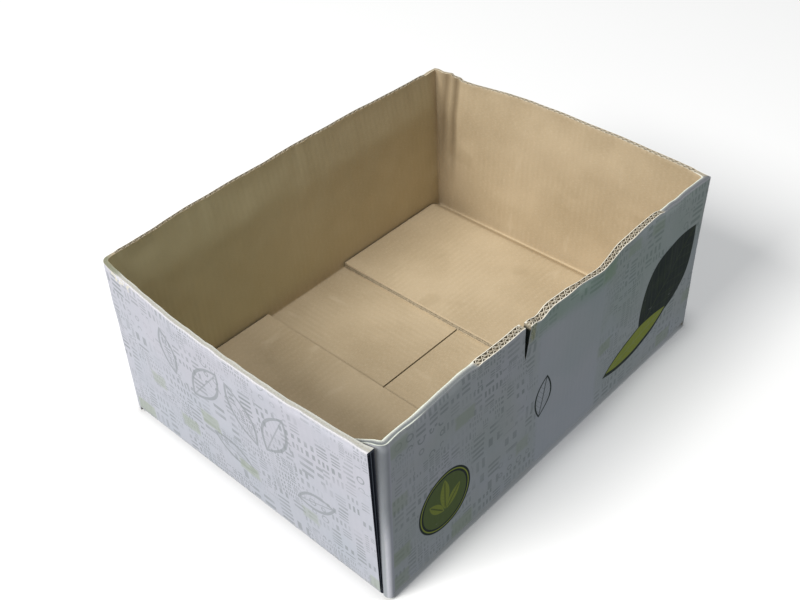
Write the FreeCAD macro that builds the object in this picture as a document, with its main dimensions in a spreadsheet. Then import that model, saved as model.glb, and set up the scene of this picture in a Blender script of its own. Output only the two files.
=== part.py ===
import FreeCAD, Part

# Open tray box folded from one blank of double-wall corrugated board.
#
# Four walls stand on folded flaps, with no flaps at the top. The blank is joined at the near
# left corner: a tab runs on from the near wall, turns the corner and is glued inside the left
# wall, whose raw end stays in view. The walls are straight where they meet the bottom and
# bow between the corners at the rim. A tear runs down the near wall from its rim. The board's
# flutes stand upright in the walls: their ends are open along the rim where it isn't crushed,
# and the raw end shows them as two channels from top to bottom.
#
# The frame has its origin under the middle of the box: X along the long walls, Y along the
# short walls, Z up, in millimetres. Near is -Y, far is +Y, left is -X and right is +X.
# Outlines are drawn in distances from the left and near planes, which touch the outer
# faces of the joint corner, and moved to the frame by from_left and from_near.

import os

import Sketcher

SIZES = (
    ("outer_length", 400.0, "left plane to right plane"),
    ("outer_width", 298.0, "near plane to far plane"),
    ("outer_height", 160.0, "ground to rim"),
    ("board", 6.5, "thickness of the corrugated board"),
    ("fold_radius", 8.0, "outer radius of every fold"),
    ("blunt_radius", 14.0, "outer radius of the far right corner at the rim"),
    ("bow_left", 7.8, "how far the left rim bows out"),
    ("bow_far", 5.1, "how far the far rim bows out"),
    ("bow_right", 5.5, "how far the right rim bows out"),
    ("dip_near", 1.2, "how far the near rim bows in, on each side of the tear"),
    ("skew", 3.2, "left plane to the outer face of the far left corner"),
    ("lap_base", 0.8, "how far the raw end stands out of the left plane at the base"),
    ("lap_rim", 7.7, "how far the raw end stands out of the left plane at the rim"),
    ("end_rim", 4.3, "near plane to the raw end at the rim"),
    ("pinch", 2.2, "left plane to where the joint's fold meets the raw end at the base"),
    ("crease", 5.0, "left plane to where the joint's fold leaves the near wall at the base"),
    ("liner", 0.7, "thickness of each of the board's three liners"),
    ("medium", 0.5, "thickness of the fluted paper between the liners"),
    ("flute_pitch", 5.8, "length of one flute along the board"),
    ("flute_depth", 8.0, "how far down from the rim the flutes are open"),
    ("open_from", 100.0, "left plane to where the near wall's flutes start to be open"),
    ("open_to", 332.0, "left plane to where the near wall's flutes are crushed again"),
    ("fold_crush", 6.0, "stretch beside a corner in which the flutes are crushed"),
    ("channel_rim", 5.0, "depth of the flute channels in the raw end at the rim"),
    ("channel_base", 3.0, "depth of the flute channels in the raw end at the base"),
    ("tab_width", 35.0, "near plane to the end of the glued tab"),
    ("tab_turn", 20.0, "near plane to where the tab comes to lie on the wall"),
    ("glue_bite", 0.4, "how deep the glued tab is pressed into the wall"),
    ("tear_place", 153.0, "left plane to the middle of the tear's mouth"),
    ("tear_depth", 31.0, "depth of the tear below the rim"),
    ("tear_mouth", 4.0, "width of the tear at the rim"),
    ("tear_tip", 1.0, "width of the tear at its lower end"),
    ("tear_lean", 2.5, "how far the tear's lower end leans to the left"),
    ("corner_lift", 2.5, "ground to the lower end of the corners"),
    ("side_gap", 2.5, "how much narrower the outer flaps are than their folds, each side"),
    ("seam_gap", 1.5, "gap between the two outer flaps"),
    ("inner_flap", 148.0, "short wall to the edge of its inner flap"),
    ("flap_ramp", 10.0, "stretch in which an inner flap climbs on the outer ones"),
)

# Share of the raw end's visible width at which its liners and flute channels change.
CHANNEL_SHARES = (0.12, 0.42, 0.58, 0.88)

OUTWARD = 1
INWARD = -1


def sized(text):
    """Expression in which every name in braces stands for its cell in the sheet."""
    return text.format(**{alias: f"Sizes.{alias}" for alias, _, _ in SIZES})


def from_left(distance):
    shift = "({bow_left} + ({lap_rim} - {skew}) / 2 - {bow_right}) / 2"
    return sized("-{outer_length} / 2 + " + shift + f" + ({distance})")


def from_near(distance):
    return sized("-({outer_width} + {bow_far}) / 2 + " + f"({distance})")


def point(x, y, radius=None, bulge=OUTWARD):
    """Point of an outline; a radius makes the edge to the next point an arc."""
    return (x, y, radius and sized(radius), bulge)


def in_plan(outline):
    """Outline seen from above, moved from the left and near planes to the frame."""
    return [(from_left(x), from_near(y), radius, bulge) for x, y, radius, bulge in outline]


def arc_radius(chord, bow):
    return f"(({chord}) ^ 2 / (8 * {bow}) + {bow} / 2)"


def turned_radius(radius, *bows):
    """Radius of a corner's arc that runs smoothly into the bowed walls on its two sides."""
    lean = "".join(f" - atan(2 * {bow} / ({chord}))" for chord, bow in bows)
    return f"(({radius}) * sqrt(0.5) / sin(45 deg{lean}))"


def make_sheet(doc):
    """Driving dimensions, one in each row: name, value and meaning."""
    sheet = doc.addObject("Spreadsheet::Sheet", "Sizes")
    for row, (alias, value, meaning) in enumerate(SIZES, start=1):
        sheet.set(f"A{row}", alias)
        sheet.set(f"B{row}", str(value))
        sheet.set(f"C{row}", meaning)
        sheet.setAlias(f"B{row}", alias)
    doc.recompute()


def new_sketch(body, name, role, offset):
    """Sketch on one of the body's own planes, moved along its normal by an expression."""
    sketch = body.newObject("Sketcher::SketchObject", name)
    plane = next(item for item in body.Origin.OriginFeatures if item.Role == role)
    sketch.AttachmentSupport = [(plane, "")]
    sketch.MapMode = "FlatFace"
    sketch.setExpression("AttachmentOffset.Base.z", offset)
    return sketch


def value_of(sketch, expression):
    return float(sketch.evalExpression(expression))


def arc_between(start, end, radius, bulge):
    """Arc with the given radius that bulges to the right (outward) or left of its way."""
    half = (end - start) * 0.5
    reach = (radius ** 2 - half.Length ** 2) ** 0.5
    left = FreeCAD.Vector(-half.y, half.x, 0).normalize()
    circle = Part.Circle(start + half + left * reach * bulge, FreeCAD.Vector(0, 0, 1), radius)
    first, last = (start, end) if bulge == OUTWARD else (end, start)
    return Part.ArcOfCircle(circle, circle.parameter(first), circle.parameter(last))


def bind(sketch, constraint, expression):
    index = sketch.addConstraint(constraint)
    sketch.setExpression(f"Constraints[{index}]", expression)


def draw(sketch, outline):
    """Closed outline whose points and radii are all tied to the driving dimensions."""
    first = sketch.GeometryCount
    places = [FreeCAD.Vector(value_of(sketch, x), value_of(sketch, y), 0)
              for x, y, _, _ in outline]
    ends = []
    for index, (_, _, radius, bulge) in enumerate(outline):
        start, end = places[index], places[(index + 1) % len(places)]
        if radius:
            edge = arc_between(start, end, value_of(sketch, radius), bulge)
        else:
            edge = Part.LineSegment(start, end)
        sketch.addGeometry(edge, False)
        ends.append((2, 1) if radius and bulge == INWARD else (1, 2))
    for index, (x, y, radius, _) in enumerate(outline):
        here, after = first + index, (index + 1) % len(outline)
        start = ends[index][0]
        sketch.addConstraint(Sketcher.Constraint(
            "Coincident", here, ends[index][1], first + after, ends[after][0]))
        bind(sketch, Sketcher.Constraint("DistanceX", -1, 1, here, start, places[index].x), x)
        bind(sketch, Sketcher.Constraint("DistanceY", -1, 1, here, start, places[index].y), y)
        if radius:
            bind(sketch, Sketcher.Constraint("Radius", here, value_of(sketch, radius)), radius)


def loft(body, kind, name, lower, upper):
    """Straight-sided loft between two sketches."""
    feature = body.newObject(f"PartDesign::{kind}Loft", name)
    feature.Profile = lower
    feature.Sections = [upper]
    feature.Ruled = True
    return feature


def pad(body, name, sketch, length):
    feature = body.newObject("PartDesign::Pad", name)
    feature.Profile = sketch
    feature.setExpression("Length", length)
    return feature


def channels(end_out, meet, end_y, depth):
    """Points of the raw end from its outer corner to the joint's fold, with two channels."""
    width = f"(({meet}) + {end_out})"
    bottom = f"{end_y} + {depth}"
    outline = [point(f"-{end_out}", end_y)]
    for step, share in enumerate(CHANNEL_SHARES):
        x = f"-{end_out} + {share} * {width}"
        rises = step % 2 == 0
        outline.append(point(x, end_y if rises else bottom))
        outline.append(point(x, bottom if rises else end_y))
    return outline


FAR_START = "{outer_width} - {fold_radius}"
RIGHT_START = "{outer_length} - {fold_radius}"
BLUNT_FAR = "{outer_width} - {blunt_radius}"
BLUNT_RIGHT = "{outer_length} - {blunt_radius}"
INNER_RADIUS = "{fold_radius} - {board}"

RIM_MEET = "{fold_radius} - sqrt({fold_radius} ^ 2 - ({fold_radius} - {end_rim}) ^ 2)"
LEFT_RUN = "{outer_width} - {fold_radius} - {end_rim}"
LEFT_CHORD = "sqrt((" + LEFT_RUN + ") ^ 2 + ({lap_rim} + {skew}) ^ 2)"
RIGHT_CHORD = "{outer_width} - {fold_radius} - {blunt_radius}"
FAR_CHORD = "{outer_length} - {skew} - {fold_radius} - {blunt_radius}"
JOINT_CHORD = "{tear_place} - {fold_radius}"
TEAR_CHORD = "{outer_length} - {fold_radius} - {tear_place}"
TAB_CHORD = "{outer_width} - {fold_radius} - {tab_width}"


def base_left(y):
    """Outer face of the left wall at the base, for a distance from the near plane."""
    run = "({outer_width} - 2 * {fold_radius})"
    return f"-{{lap_base}} + ({{lap_base}} + {{skew}}) * ({y} - {{fold_radius}}) / {run}"


def rim_left(y):
    """Outer face of the bowed left wall at the rim, for a distance from the near plane."""
    share = f"(({y} - {{end_rim}}) / ({LEFT_RUN}))"
    chord = f"-{{lap_rim}} + ({{lap_rim}} + {{skew}}) * {share}"
    return f"{chord} - 4 * {{bow_left}} * {share} * (1 - {share})"


def outer_base():
    joint = "((({crease} - {pinch}) ^ 2 + {fold_radius} ^ 2) / (2 * {fold_radius}))"
    raw_end = channels("{lap_base}", "{pinch}", "{fold_radius}", "{channel_base}")
    return in_plan([
        point("{crease}", "0"),
        point("{tear_place}", "0"),
        point(RIGHT_START, "0", "{fold_radius}"),
        point("{outer_length}", "{fold_radius}"),
        point("{outer_length}", FAR_START, "{fold_radius}"),
        point(RIGHT_START, "{outer_width}"),
        point("{skew} + {fold_radius}", "{outer_width}", "{fold_radius}"),
        point("{skew}", FAR_START),
        *raw_end,
        point("{pinch}", "{fold_radius}", joint),
    ])


def outer_rim():
    near, far = (JOINT_CHORD, "{dip_near}"), (FAR_CHORD, "{bow_far}")
    left, right = (LEFT_CHORD, "{bow_left}"), (RIGHT_CHORD, "{bow_right}")
    raw_end = channels("{lap_rim}", RIM_MEET, "{end_rim}", "{channel_rim}")
    return in_plan([
        point("{fold_radius}", "0", arc_radius(*near), INWARD),
        point("{tear_place}", "0", arc_radius(TEAR_CHORD, "{dip_near}"), INWARD),
        point(RIGHT_START, "0", turned_radius("{fold_radius}", right)),
        point("{outer_length}", "{fold_radius}", arc_radius(*right)),
        point("{outer_length}", BLUNT_FAR, turned_radius("{blunt_radius}", right, far)),
        point(BLUNT_RIGHT, "{outer_width}", arc_radius(*far)),
        point("{skew} + {fold_radius}", "{outer_width}",
              turned_radius("{fold_radius}", far, left)),
        point("{skew}", FAR_START, arc_radius(*left)),
        *raw_end,
        point(RIM_MEET, "{end_rim}", "{fold_radius}"),
    ])


def inner_base():
    laid = " + 2 * {board} - {glue_bite}"
    return in_plan([
        point("{fold_radius}", "{board}"),
        point("{tear_place}", "{board}"),
        point(RIGHT_START, "{board}", INNER_RADIUS),
        point("{outer_length} - {board}", "{fold_radius}"),
        point("{outer_length} - {board}", FAR_START, INNER_RADIUS),
        point(RIGHT_START, "{outer_width} - {board}"),
        point("{skew} + {fold_radius}", "{outer_width} - {board}", INNER_RADIUS),
        point("{skew} + {board}", FAR_START),
        point(base_left("{tab_width}") + " + {board}", "{tab_width}"),
        point(base_left("{tab_width}") + laid, "{tab_width}"),
        point(base_left("{tab_turn}") + laid, "{tab_turn}"),
        point("{board}", "{fold_radius}", INNER_RADIUS),
    ])


def inner_rim():
    laid = " + 2 * {board} - {glue_bite}"
    far, right = (FAR_CHORD, "{bow_far}"), (RIGHT_CHORD, "{bow_right}")
    left_bow = "({bow_left} * ((" + TAB_CHORD + ") / (" + LEFT_RUN + ")) ^ 2)"
    left = (TAB_CHORD, left_bow)
    blunt = turned_radius("{blunt_radius} - {board}", right, far)
    return in_plan([
        point("{fold_radius}", "{board}", arc_radius(JOINT_CHORD, "{dip_near}"), INWARD),
        point("{tear_place}", "{board}", arc_radius(TEAR_CHORD, "{dip_near}"), INWARD),
        point(RIGHT_START, "{board}", turned_radius(INNER_RADIUS, right)),
        point("{outer_length} - {board}", "{fold_radius}", arc_radius(*right)),
        point("{outer_length} - {board}", BLUNT_FAR, blunt),
        point(BLUNT_RIGHT, "{outer_width} - {board}", arc_radius(*far)),
        point("{skew} + {fold_radius}", "{outer_width} - {board}",
              turned_radius(INNER_RADIUS, far, left)),
        point("{skew} + {board}", FAR_START, arc_radius(*left)),
        point(rim_left("{tab_width}") + " + {board}", "{tab_width}"),
        point(rim_left("{tab_width}") + laid, "{tab_width}"),
        point(rim_left("{tab_turn}") + laid, "{tab_turn}"),
        point("{board}", "{fold_radius}", INNER_RADIUS),
    ])


def add_walls(body):
    """Ring of walls from the top of the bottom folds to the rim."""
    sketches = {}
    for name, outline, level in (
            ("outer_base", outer_base(), "{fold_radius}"),
            ("outer_rim", outer_rim(), "{outer_height}"),
            ("inner_base", inner_base(), "{fold_radius}"),
            ("inner_rim", inner_rim(), "{outer_height}")):
        sketches[name] = new_sketch(body, name, "XY_Plane", sized(level))
        draw(sketches[name], outline)
    loft(body, "Additive", "walls", sketches["outer_base"], sketches["outer_rim"])
    loft(body, "Subtractive", "inside", sketches["inner_base"], sketches["inner_rim"])


def corner_piece(x, y, to_x, to_y):
    """Quarter of a fold seen from above, at the corner that points to (to_x, to_y)."""
    def place(across, along):
        return f"{x} + {-to_x} * ({across})", f"{y} + {-to_y} * ({along})"

    turning = OUTWARD if to_x == -to_y else INWARD
    return in_plan([
        point(*place("{fold_radius}", "0"), "{fold_radius}", turning),
        point(*place("0", "{fold_radius}")),
        point(*place("{board}", "{fold_radius}"), INNER_RADIUS, -turning),
        point(*place("{fold_radius}", "{board}")),
    ])


def add_corners(body):
    """Lower ends of the corners, between the slots that part the flaps."""
    joint = "((({crease} - {pinch}) ^ 2 + {fold_radius} ^ 2) / (2 * {fold_radius}))"
    sketch = new_sketch(body, "corner_ends", "XY_Plane", sized("{corner_lift}"))
    draw(sketch, in_plan([
        point("{crease}", "0"),
        point("{fold_radius}", "0"),
        point("{fold_radius}", "{board}", INNER_RADIUS, INWARD),
        point("{board}", "{fold_radius}"),
        point("{pinch}", "{fold_radius}", joint),
    ]))
    draw(sketch, corner_piece("{outer_length}", "0", 1, -1))
    draw(sketch, corner_piece("{outer_length}", "{outer_width}", 1, 1))
    draw(sketch, corner_piece("{skew}", "{outer_width}", -1, 1))
    pad(body, "corners", sketch, sized("{fold_radius} - {corner_lift}"))


def fold_section(place, face, inward):
    """Quarter-round fold in section, from the wall above it to the flap beside it."""
    def across(distance):
        return place(f"{face} + {inward} * ({distance})")

    return [
        (across("0"), sized("{fold_radius}"), sized("{fold_radius}"), inward),
        (across("{fold_radius}"), sized("0"), None, OUTWARD),
        (across("{fold_radius}"), sized("{board}"), sized(INNER_RADIUS), -inward),
        (across("{board}"), sized("{fold_radius}"), None, OUTWARD),
    ]


def flap_section(face, inward):
    """Flat outer flap in section, from its fold to the seam in the middle."""
    def across(distance):
        return from_near(f"{face} + {inward} * ({distance})")

    seam = "({outer_width} - {seam_gap}) / 2"
    return [
        (across("{fold_radius}"), sized("0"), None, OUTWARD),
        (across(seam), sized("0"), None, OUTWARD),
        (across(seam), sized("{board}"), None, OUTWARD),
        (across("{fold_radius}"), sized("{board}"), None, OUTWARD),
    ]


def ramp_section(face, inward):
    """Fold and inner flap in section; the flap climbs and lies on the outer flaps."""
    def across(distance):
        return from_left(f"{face} + {inward} * ({distance})")

    climbed = "{fold_radius} + {flap_ramp}"
    knee = climbed + " - {board} * tan(atan({board} / {flap_ramp}) / 2)"
    return [
        (across("0"), sized("{fold_radius}"), sized("{fold_radius}"), inward),
        (across("{fold_radius}"), sized("0"), None, OUTWARD),
        (across(climbed), sized("{board}"), None, OUTWARD),
        (across("{inner_flap}"), sized("{board}"), None, OUTWARD),
        (across("{inner_flap}"), sized("2 * {board}"), None, OUTWARD),
        (across(knee), sized("2 * {board}"), None, OUTWARD),
        (across("{board}"), sized("{fold_radius}"), None, OUTWARD),
    ]


def add_outer_flaps(body):
    """Folds of the long walls and their flat flaps, which meet at the seam."""
    fold_start = from_left("{fold_radius}")
    flap_start = from_left("{fold_radius} + {side_gap}")
    fold_length = sized("{outer_length} - 2 * {fold_radius}")
    flap_length = sized("{outer_length} - 2 * ({fold_radius} + {side_gap})")
    for name, face, inward in (("near", "0", 1), ("far", "{outer_width}", -1)):
        fold = new_sketch(body, f"{name}_fold_section", "YZ_Plane", fold_start)
        draw(fold, fold_section(from_near, face, inward))
        pad(body, f"{name}_fold", fold, fold_length)
        flap = new_sketch(body, f"{name}_flap_section", "YZ_Plane", flap_start)
        draw(flap, flap_section(face, inward))
        pad(body, f"{name}_flap", flap, flap_length)


def add_inner_flaps(body):
    """Folds of the short walls with the flaps that lie on the outer flaps."""
    far_end = from_near(FAR_START)
    run = sized("{outer_width} - 2 * {fold_radius}")
    for name, face, inward in (("left", "{skew}", 1), ("right", "{outer_length}", -1)):
        sketch = new_sketch(body, f"{name}_flap_section", "XZ_Plane", f"-({far_end})")
        draw(sketch, ramp_section(face, inward))
        feature = pad(body, f"{name}_flap", sketch, run)
        if name == "left":
            feature.UseCustomVector = True
            feature.AlongSketchNormal = True
            feature.Direction = FreeCAD.Vector(0, -1, 0)
            feature.setExpression("Direction.x", sized("-({lap_base} + {skew})"))
            feature.setExpression("Direction.y", f"-({run})")


def add_tear(body):
    """Tear that opens the near wall from its rim, wide at the mouth and leaning."""
    middle = from_near("{board} / 2")
    sketch = new_sketch(body, "tear_section", "XZ_Plane", f"-({middle})")
    tip, low = "{tear_place} - {tear_lean}", sized("{outer_height} - {tear_depth}")
    draw(sketch, [
        (from_left(tip + " - {tear_tip} / 2"), low, None, OUTWARD),
        (from_left(tip + " + {tear_tip} / 2"), low, None, OUTWARD),
        (from_left("{tear_place} + {tear_mouth} / 2"), sized("{outer_height}"), None, OUTWARD),
        (from_left("{tear_place} - {tear_mouth} / 2"), sized("{outer_height}"), None, OUTWARD),
    ])
    tear = body.newObject("PartDesign::Pocket", "tear")
    tear.Profile = sketch
    tear.Midplane = True
    tear.setExpression("Length", sized("3 * {board}"))


# Each run of rim with open flutes: start and end on the outer face with the wall to their
# left, how far the rim bows out, and the crushed stretches after the start and before the end.
RIM_RUNS = (
    (("{fold_radius}", "0"), ("{tear_place}", "0"),
     "-{dip_near}", "{open_from} - {fold_radius}", "{tear_mouth}"),
    (("{tear_place}", "0"), (RIGHT_START, "0"),
     "-{dip_near}", "{tear_mouth}", RIGHT_START + " - {open_to}"),
    (("{outer_length}", "{fold_radius}"), ("{outer_length}", BLUNT_FAR),
     "{bow_right}", "{fold_crush}", "{fold_crush}"),
    ((BLUNT_RIGHT, "{outer_width}"), ("{skew} + {fold_radius}", "{outer_width}"),
     "{bow_far}", "{fold_crush}", "{fold_crush}"),
)


def flute_prisms(value, run):
    """Open flutes of one run of rim, as triangular prisms that lean with the wall.

    value gives the number for an expression. The prisms of a row stand in turn on its outer
    and on its inner liner, and the fluted paper is what they leave between them.
    """
    start, end = (FreeCAD.Vector(value(from_left(x)), value(from_near(y)), 0)
                  for x, y in run[:2])
    bow, crushed_start, crushed_end = (value(text) for text in run[2:])
    chord = (end - start).Length
    along = (end - start) / chord
    inward = FreeCAD.Vector(-along.y, along.x, 0)
    wall_rise = value("{outer_height} - {fold_radius}")
    depth, liner, half_pitch = value("{flute_depth}"), value("{liner}"), value("{flute_pitch} / 2")
    row_height = value("({board} - 3 * {liner}) / 2")
    paper = value("{medium} / 2") * (row_height ** 2 + half_pitch ** 2) ** 0.5 / row_height
    tip = row_height * (1 - paper / half_pitch)
    top = value("{outer_height} + {liner}")

    def bulge(distance):
        share = distance / chord
        return 4 * bow * share * (1 - share)

    def rim_point(distance, behind_face):
        place = start + along * distance + inward * (behind_face - bulge(distance))
        return FreeCAD.Vector(place.x, place.y, top)

    prisms = []
    for row in (0, 1):
        outer = liner + row * (row_height + liner)
        distance = crushed_start + row * half_pitch
        on_outer = True
        while distance + 2 * half_pitch < chord - crushed_end:
            foot, peak = (outer, outer + tip) if on_outer else (outer + row_height,
                                                                outer + row_height - tip)
            corners = [rim_point(distance + paper, foot),
                       rim_point(distance + 2 * half_pitch - paper, foot),
                       rim_point(distance + half_pitch, peak)]
            lean = bulge(distance + half_pitch) / wall_rise
            face = Part.Face(Part.makePolygon(corners + corners[:1]))
            way = (inward * lean - FreeCAD.Vector(0, 0, 1)) * (depth + liner)
            prisms.append(face.extrude(way))
            distance += half_pitch
            on_outer = not on_outer
    return prisms


def open_flutes(doc, body):
    """Box with the flutes opened along the rim."""
    def value(text):
        return float(doc.Sizes.evalExpression(sized(text)))

    cells = doc.addObject("Part::Feature", "flute_cells")
    cells.Shape = Part.makeCompound([prism for run in RIM_RUNS for prism in flute_prisms(value, run)])
    cells.Placement = FreeCAD.Placement()
    box = doc.addObject("Part::Cut", "folded_box")
    box.Label = "folded_box"
    box.Base = body
    box.Tool = cells
    box.Placement = FreeCAD.Placement()
    doc.recompute()
    return box


def check(doc):
    """Stop where an object of the document failed or holds no valid shape."""
    for item in doc.Objects:
        state = " ".join(item.State)
        assert "Invalid" not in state and "Error" not in state, f"{item.Label}: {state}"
        shape = getattr(item, "Shape", None)
        if shape is not None and item.TypeId != "App::Plane":
            assert item.TypeId.startswith("App::") or not shape.isNull(), f"{item.Label} is empty"
            assert shape.isNull() or shape.isValid(), f"{item.Label} is not valid"


def build(doc):
    make_sheet(doc)
    body = doc.addObject("PartDesign::Body", "folded_sheet")
    body.Label = "folded_sheet"
    body.Placement = FreeCAD.Placement()
    for add in (add_walls, add_corners, add_outer_flaps, add_inner_flaps, add_tear):
        add(body)
        doc.recompute()
    return open_flutes(doc, body)


def main():
    doc = FreeCAD.newDocument("tray_box")
    box = build(doc)
    check(doc)
    assert len(box.Shape.Solids) == 1, "the box is not one solid"
    os.makedirs("parts", exist_ok=True)
    box.Shape.Solids[0].exportStep(os.path.join("parts", f"{box.Label}.step"))
    print(f"{box.Label}: volume {box.Shape.Volume:.0f} cubic mm")


main()
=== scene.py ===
"""Open tray box folded from one blank of printed double-wall board, on a pale studio floor.

The box is one piece. Blank maps a flat blank (run along the walls, drop down from the rim,
depth through the board) to its folded place, and thickens patches of it to closed sheets.
Sizes are in millimetres until a mesh is made, and distances on the plan are measured from
the left and near planes, as in the part's source.
"""

import logging
import math
from dataclasses import dataclass, field
from enum import Enum, IntEnum
from functools import reduce
from typing import Callable, Iterable, Sequence

import bpy
from mathutils import Matrix, Vector, noise


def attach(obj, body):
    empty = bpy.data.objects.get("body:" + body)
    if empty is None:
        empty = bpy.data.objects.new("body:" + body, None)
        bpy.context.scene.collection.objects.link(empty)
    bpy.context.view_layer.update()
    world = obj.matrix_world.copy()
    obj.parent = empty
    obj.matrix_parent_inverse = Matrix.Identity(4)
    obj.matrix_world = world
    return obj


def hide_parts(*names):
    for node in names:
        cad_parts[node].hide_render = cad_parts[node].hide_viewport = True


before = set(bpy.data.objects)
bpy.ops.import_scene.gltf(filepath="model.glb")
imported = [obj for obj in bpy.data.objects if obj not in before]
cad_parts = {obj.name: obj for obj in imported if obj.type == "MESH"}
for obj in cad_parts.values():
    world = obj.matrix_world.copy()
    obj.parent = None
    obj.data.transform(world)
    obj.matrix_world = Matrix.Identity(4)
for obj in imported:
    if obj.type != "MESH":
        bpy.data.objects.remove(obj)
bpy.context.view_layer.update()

LOG = logging.getLogger("tray_box")
NODE = "folded_box"
METRES = 0.001
SEED = 11
SHARP_ANGLE = 38.0
WALL_STEP = 4.0
FOLD_STEP = 1.5
END_STEP = 2.0
JOINT_STEP = 1.0
TAB_STEP = 3.0
TAB_GAP = 0.12
RAMP_LENGTH = 10.0
RAMP_KNEE = 2.0
FLAP_GAP = 0.15
TAB_SLANT_START = 6.0
EVEN_AFTER = 15.0
THINNEST = 0.3
UNDER_GAP = 0.1
CREST = 1.15
FACE_CUT = (0.3, 0.0)


@dataclass(frozen=True)
class BoxSizes:
    """Driving sizes of the box in millimetres, the same as the part's."""

    length: float = 400.0
    width: float = 298.0
    height: float = 160.0
    board: float = 6.5
    fold: float = 8.0
    blunt: float = 14.0
    bow_left: float = 7.8
    bow_far: float = 5.1
    bow_right: float = 5.5
    dip_near: float = 1.2
    skew: float = 3.2
    lap_base: float = 0.8
    lap_rim: float = 7.7
    end_rim: float = 4.3
    pinch: float = 2.2
    crease: float = 5.0
    tab_turn: float = 20.0
    tab_width: float = 35.0
    tear_place: float = 153.0
    tear_depth: float = 31.0
    tear_mouth: float = 4.0
    tear_lean: float = 2.5
    corner_lift: float = 2.5
    side_gap: float = 2.5
    seam_gap: float = 1.5
    inner_flap: float = 148.0
    flute_pitch: float = 5.8
    flute_depth: float = 9.0
    fold_crush: float = 6.0
    open_from: float = 100.0
    open_to: float = 332.0

    @property
    def shift(self) -> tuple[float, float]:
        """Place of the left and near planes' corner in the frame."""
        out_left = self.bow_left + (self.lap_rim - self.skew) / 2
        return ((out_left - self.bow_right - self.length) / 2, -(self.width + self.bow_far) / 2)


SIZES = BoxSizes()


class Side(IntEnum):
    """Faces of the board, which are also its material slots."""

    OUTER = 0
    INNER = 1
    CUT = 2


def mix(low: float, high: float, share: float) -> float:
    """Number that lies the given share of the way from low to high."""
    return low + (high - low) * share


def smooth(low: float, high: float, value: float) -> float:
    """Rise from 0 to 1 with level ends while value goes from low to high."""
    share = min(1.0, max(0.0, (value - low) / (high - low)))
    return share * share * (3 - 2 * share)


def bell(value: float, middle: float, reach: float) -> float:
    """1 at the middle, fading to 0 over about twice the reach."""
    return math.exp(-((value - middle) / reach) ** 2)


def waver(*place: float) -> float:
    """Smooth random number from -1 to 1 that depends only on the place."""
    x, y, z = (tuple(place) + (0.0, 0.0))[:3]
    return noise.noise(Vector((x + SEED, y - SEED, z)))


def aimed(angle: float) -> Vector:
    """Unit vector at an angle in radians."""
    return Vector((math.cos(angle), math.sin(angle)))


@dataclass(frozen=True)
class Edge:
    """Line or arc on the plan; a positive sag bulges to the left of its way."""

    start: tuple[float, float]
    end: tuple[float, float]
    sag: float = 0.0

    def at(self, share: float) -> Vector:
        """Point at a share of the way.

        Args:
            share: 0 at the start and 1 at the end.

        Returns:
            The point on the plan.
        """
        start, end = Vector(self.start), Vector(self.end)
        way = end - start
        if abs(self.sag) < 1e-6:
            return start + way * share
        chord = way.length
        left = Vector((-way.y, way.x)) / chord
        radius = chord * chord / (8 * self.sag) + self.sag / 2
        centre = start + way / 2 + left * (self.sag - radius)
        arm = start - centre
        half = 2 * math.atan(2 * self.sag / chord)
        turn = -2 * half * share
        turned = Vector((arm.x * math.cos(turn) - arm.y * math.sin(turn),
                         arm.x * math.sin(turn) + arm.y * math.cos(turn)))
        return centre + turned


def corner_sag(radius: float, *leans: float) -> float:
    """Sag of a corner's arc whose chord joins the two ends of a quarter turn.

    Args:
        radius: distance from the corner to each end of the arc.
        leans: angles by which the walls beside it bow away, in radians.

    Returns:
        The arc's sag, so that it runs smoothly into both walls.
    """
    half = math.pi / 4 - sum(leans)
    return radius * math.sqrt(2) / 2 * math.tan(half / 2)


@dataclass(frozen=True)
class Stretch:
    """Part of the strip of walls, between two upright lines.

    outer and inner hold the board's two faces on the plan, each at the base and at the rim.
    """

    name: str
    outer: tuple[Edge, Edge]
    inner: tuple[Edge, Edge]
    step: float
    span: float
    flap: str = ""

    def at(self, share: float, rise: float, depth: float) -> Vector:
        """Point in the board on the plan, for a share of the wall's rise and of its depth."""
        outer = self.outer[0].at(share).lerp(self.outer[1].at(share), rise)
        inner = self.inner[0].at(share).lerp(self.inner[1].at(share), rise)
        return outer.lerp(inner, depth)


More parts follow.
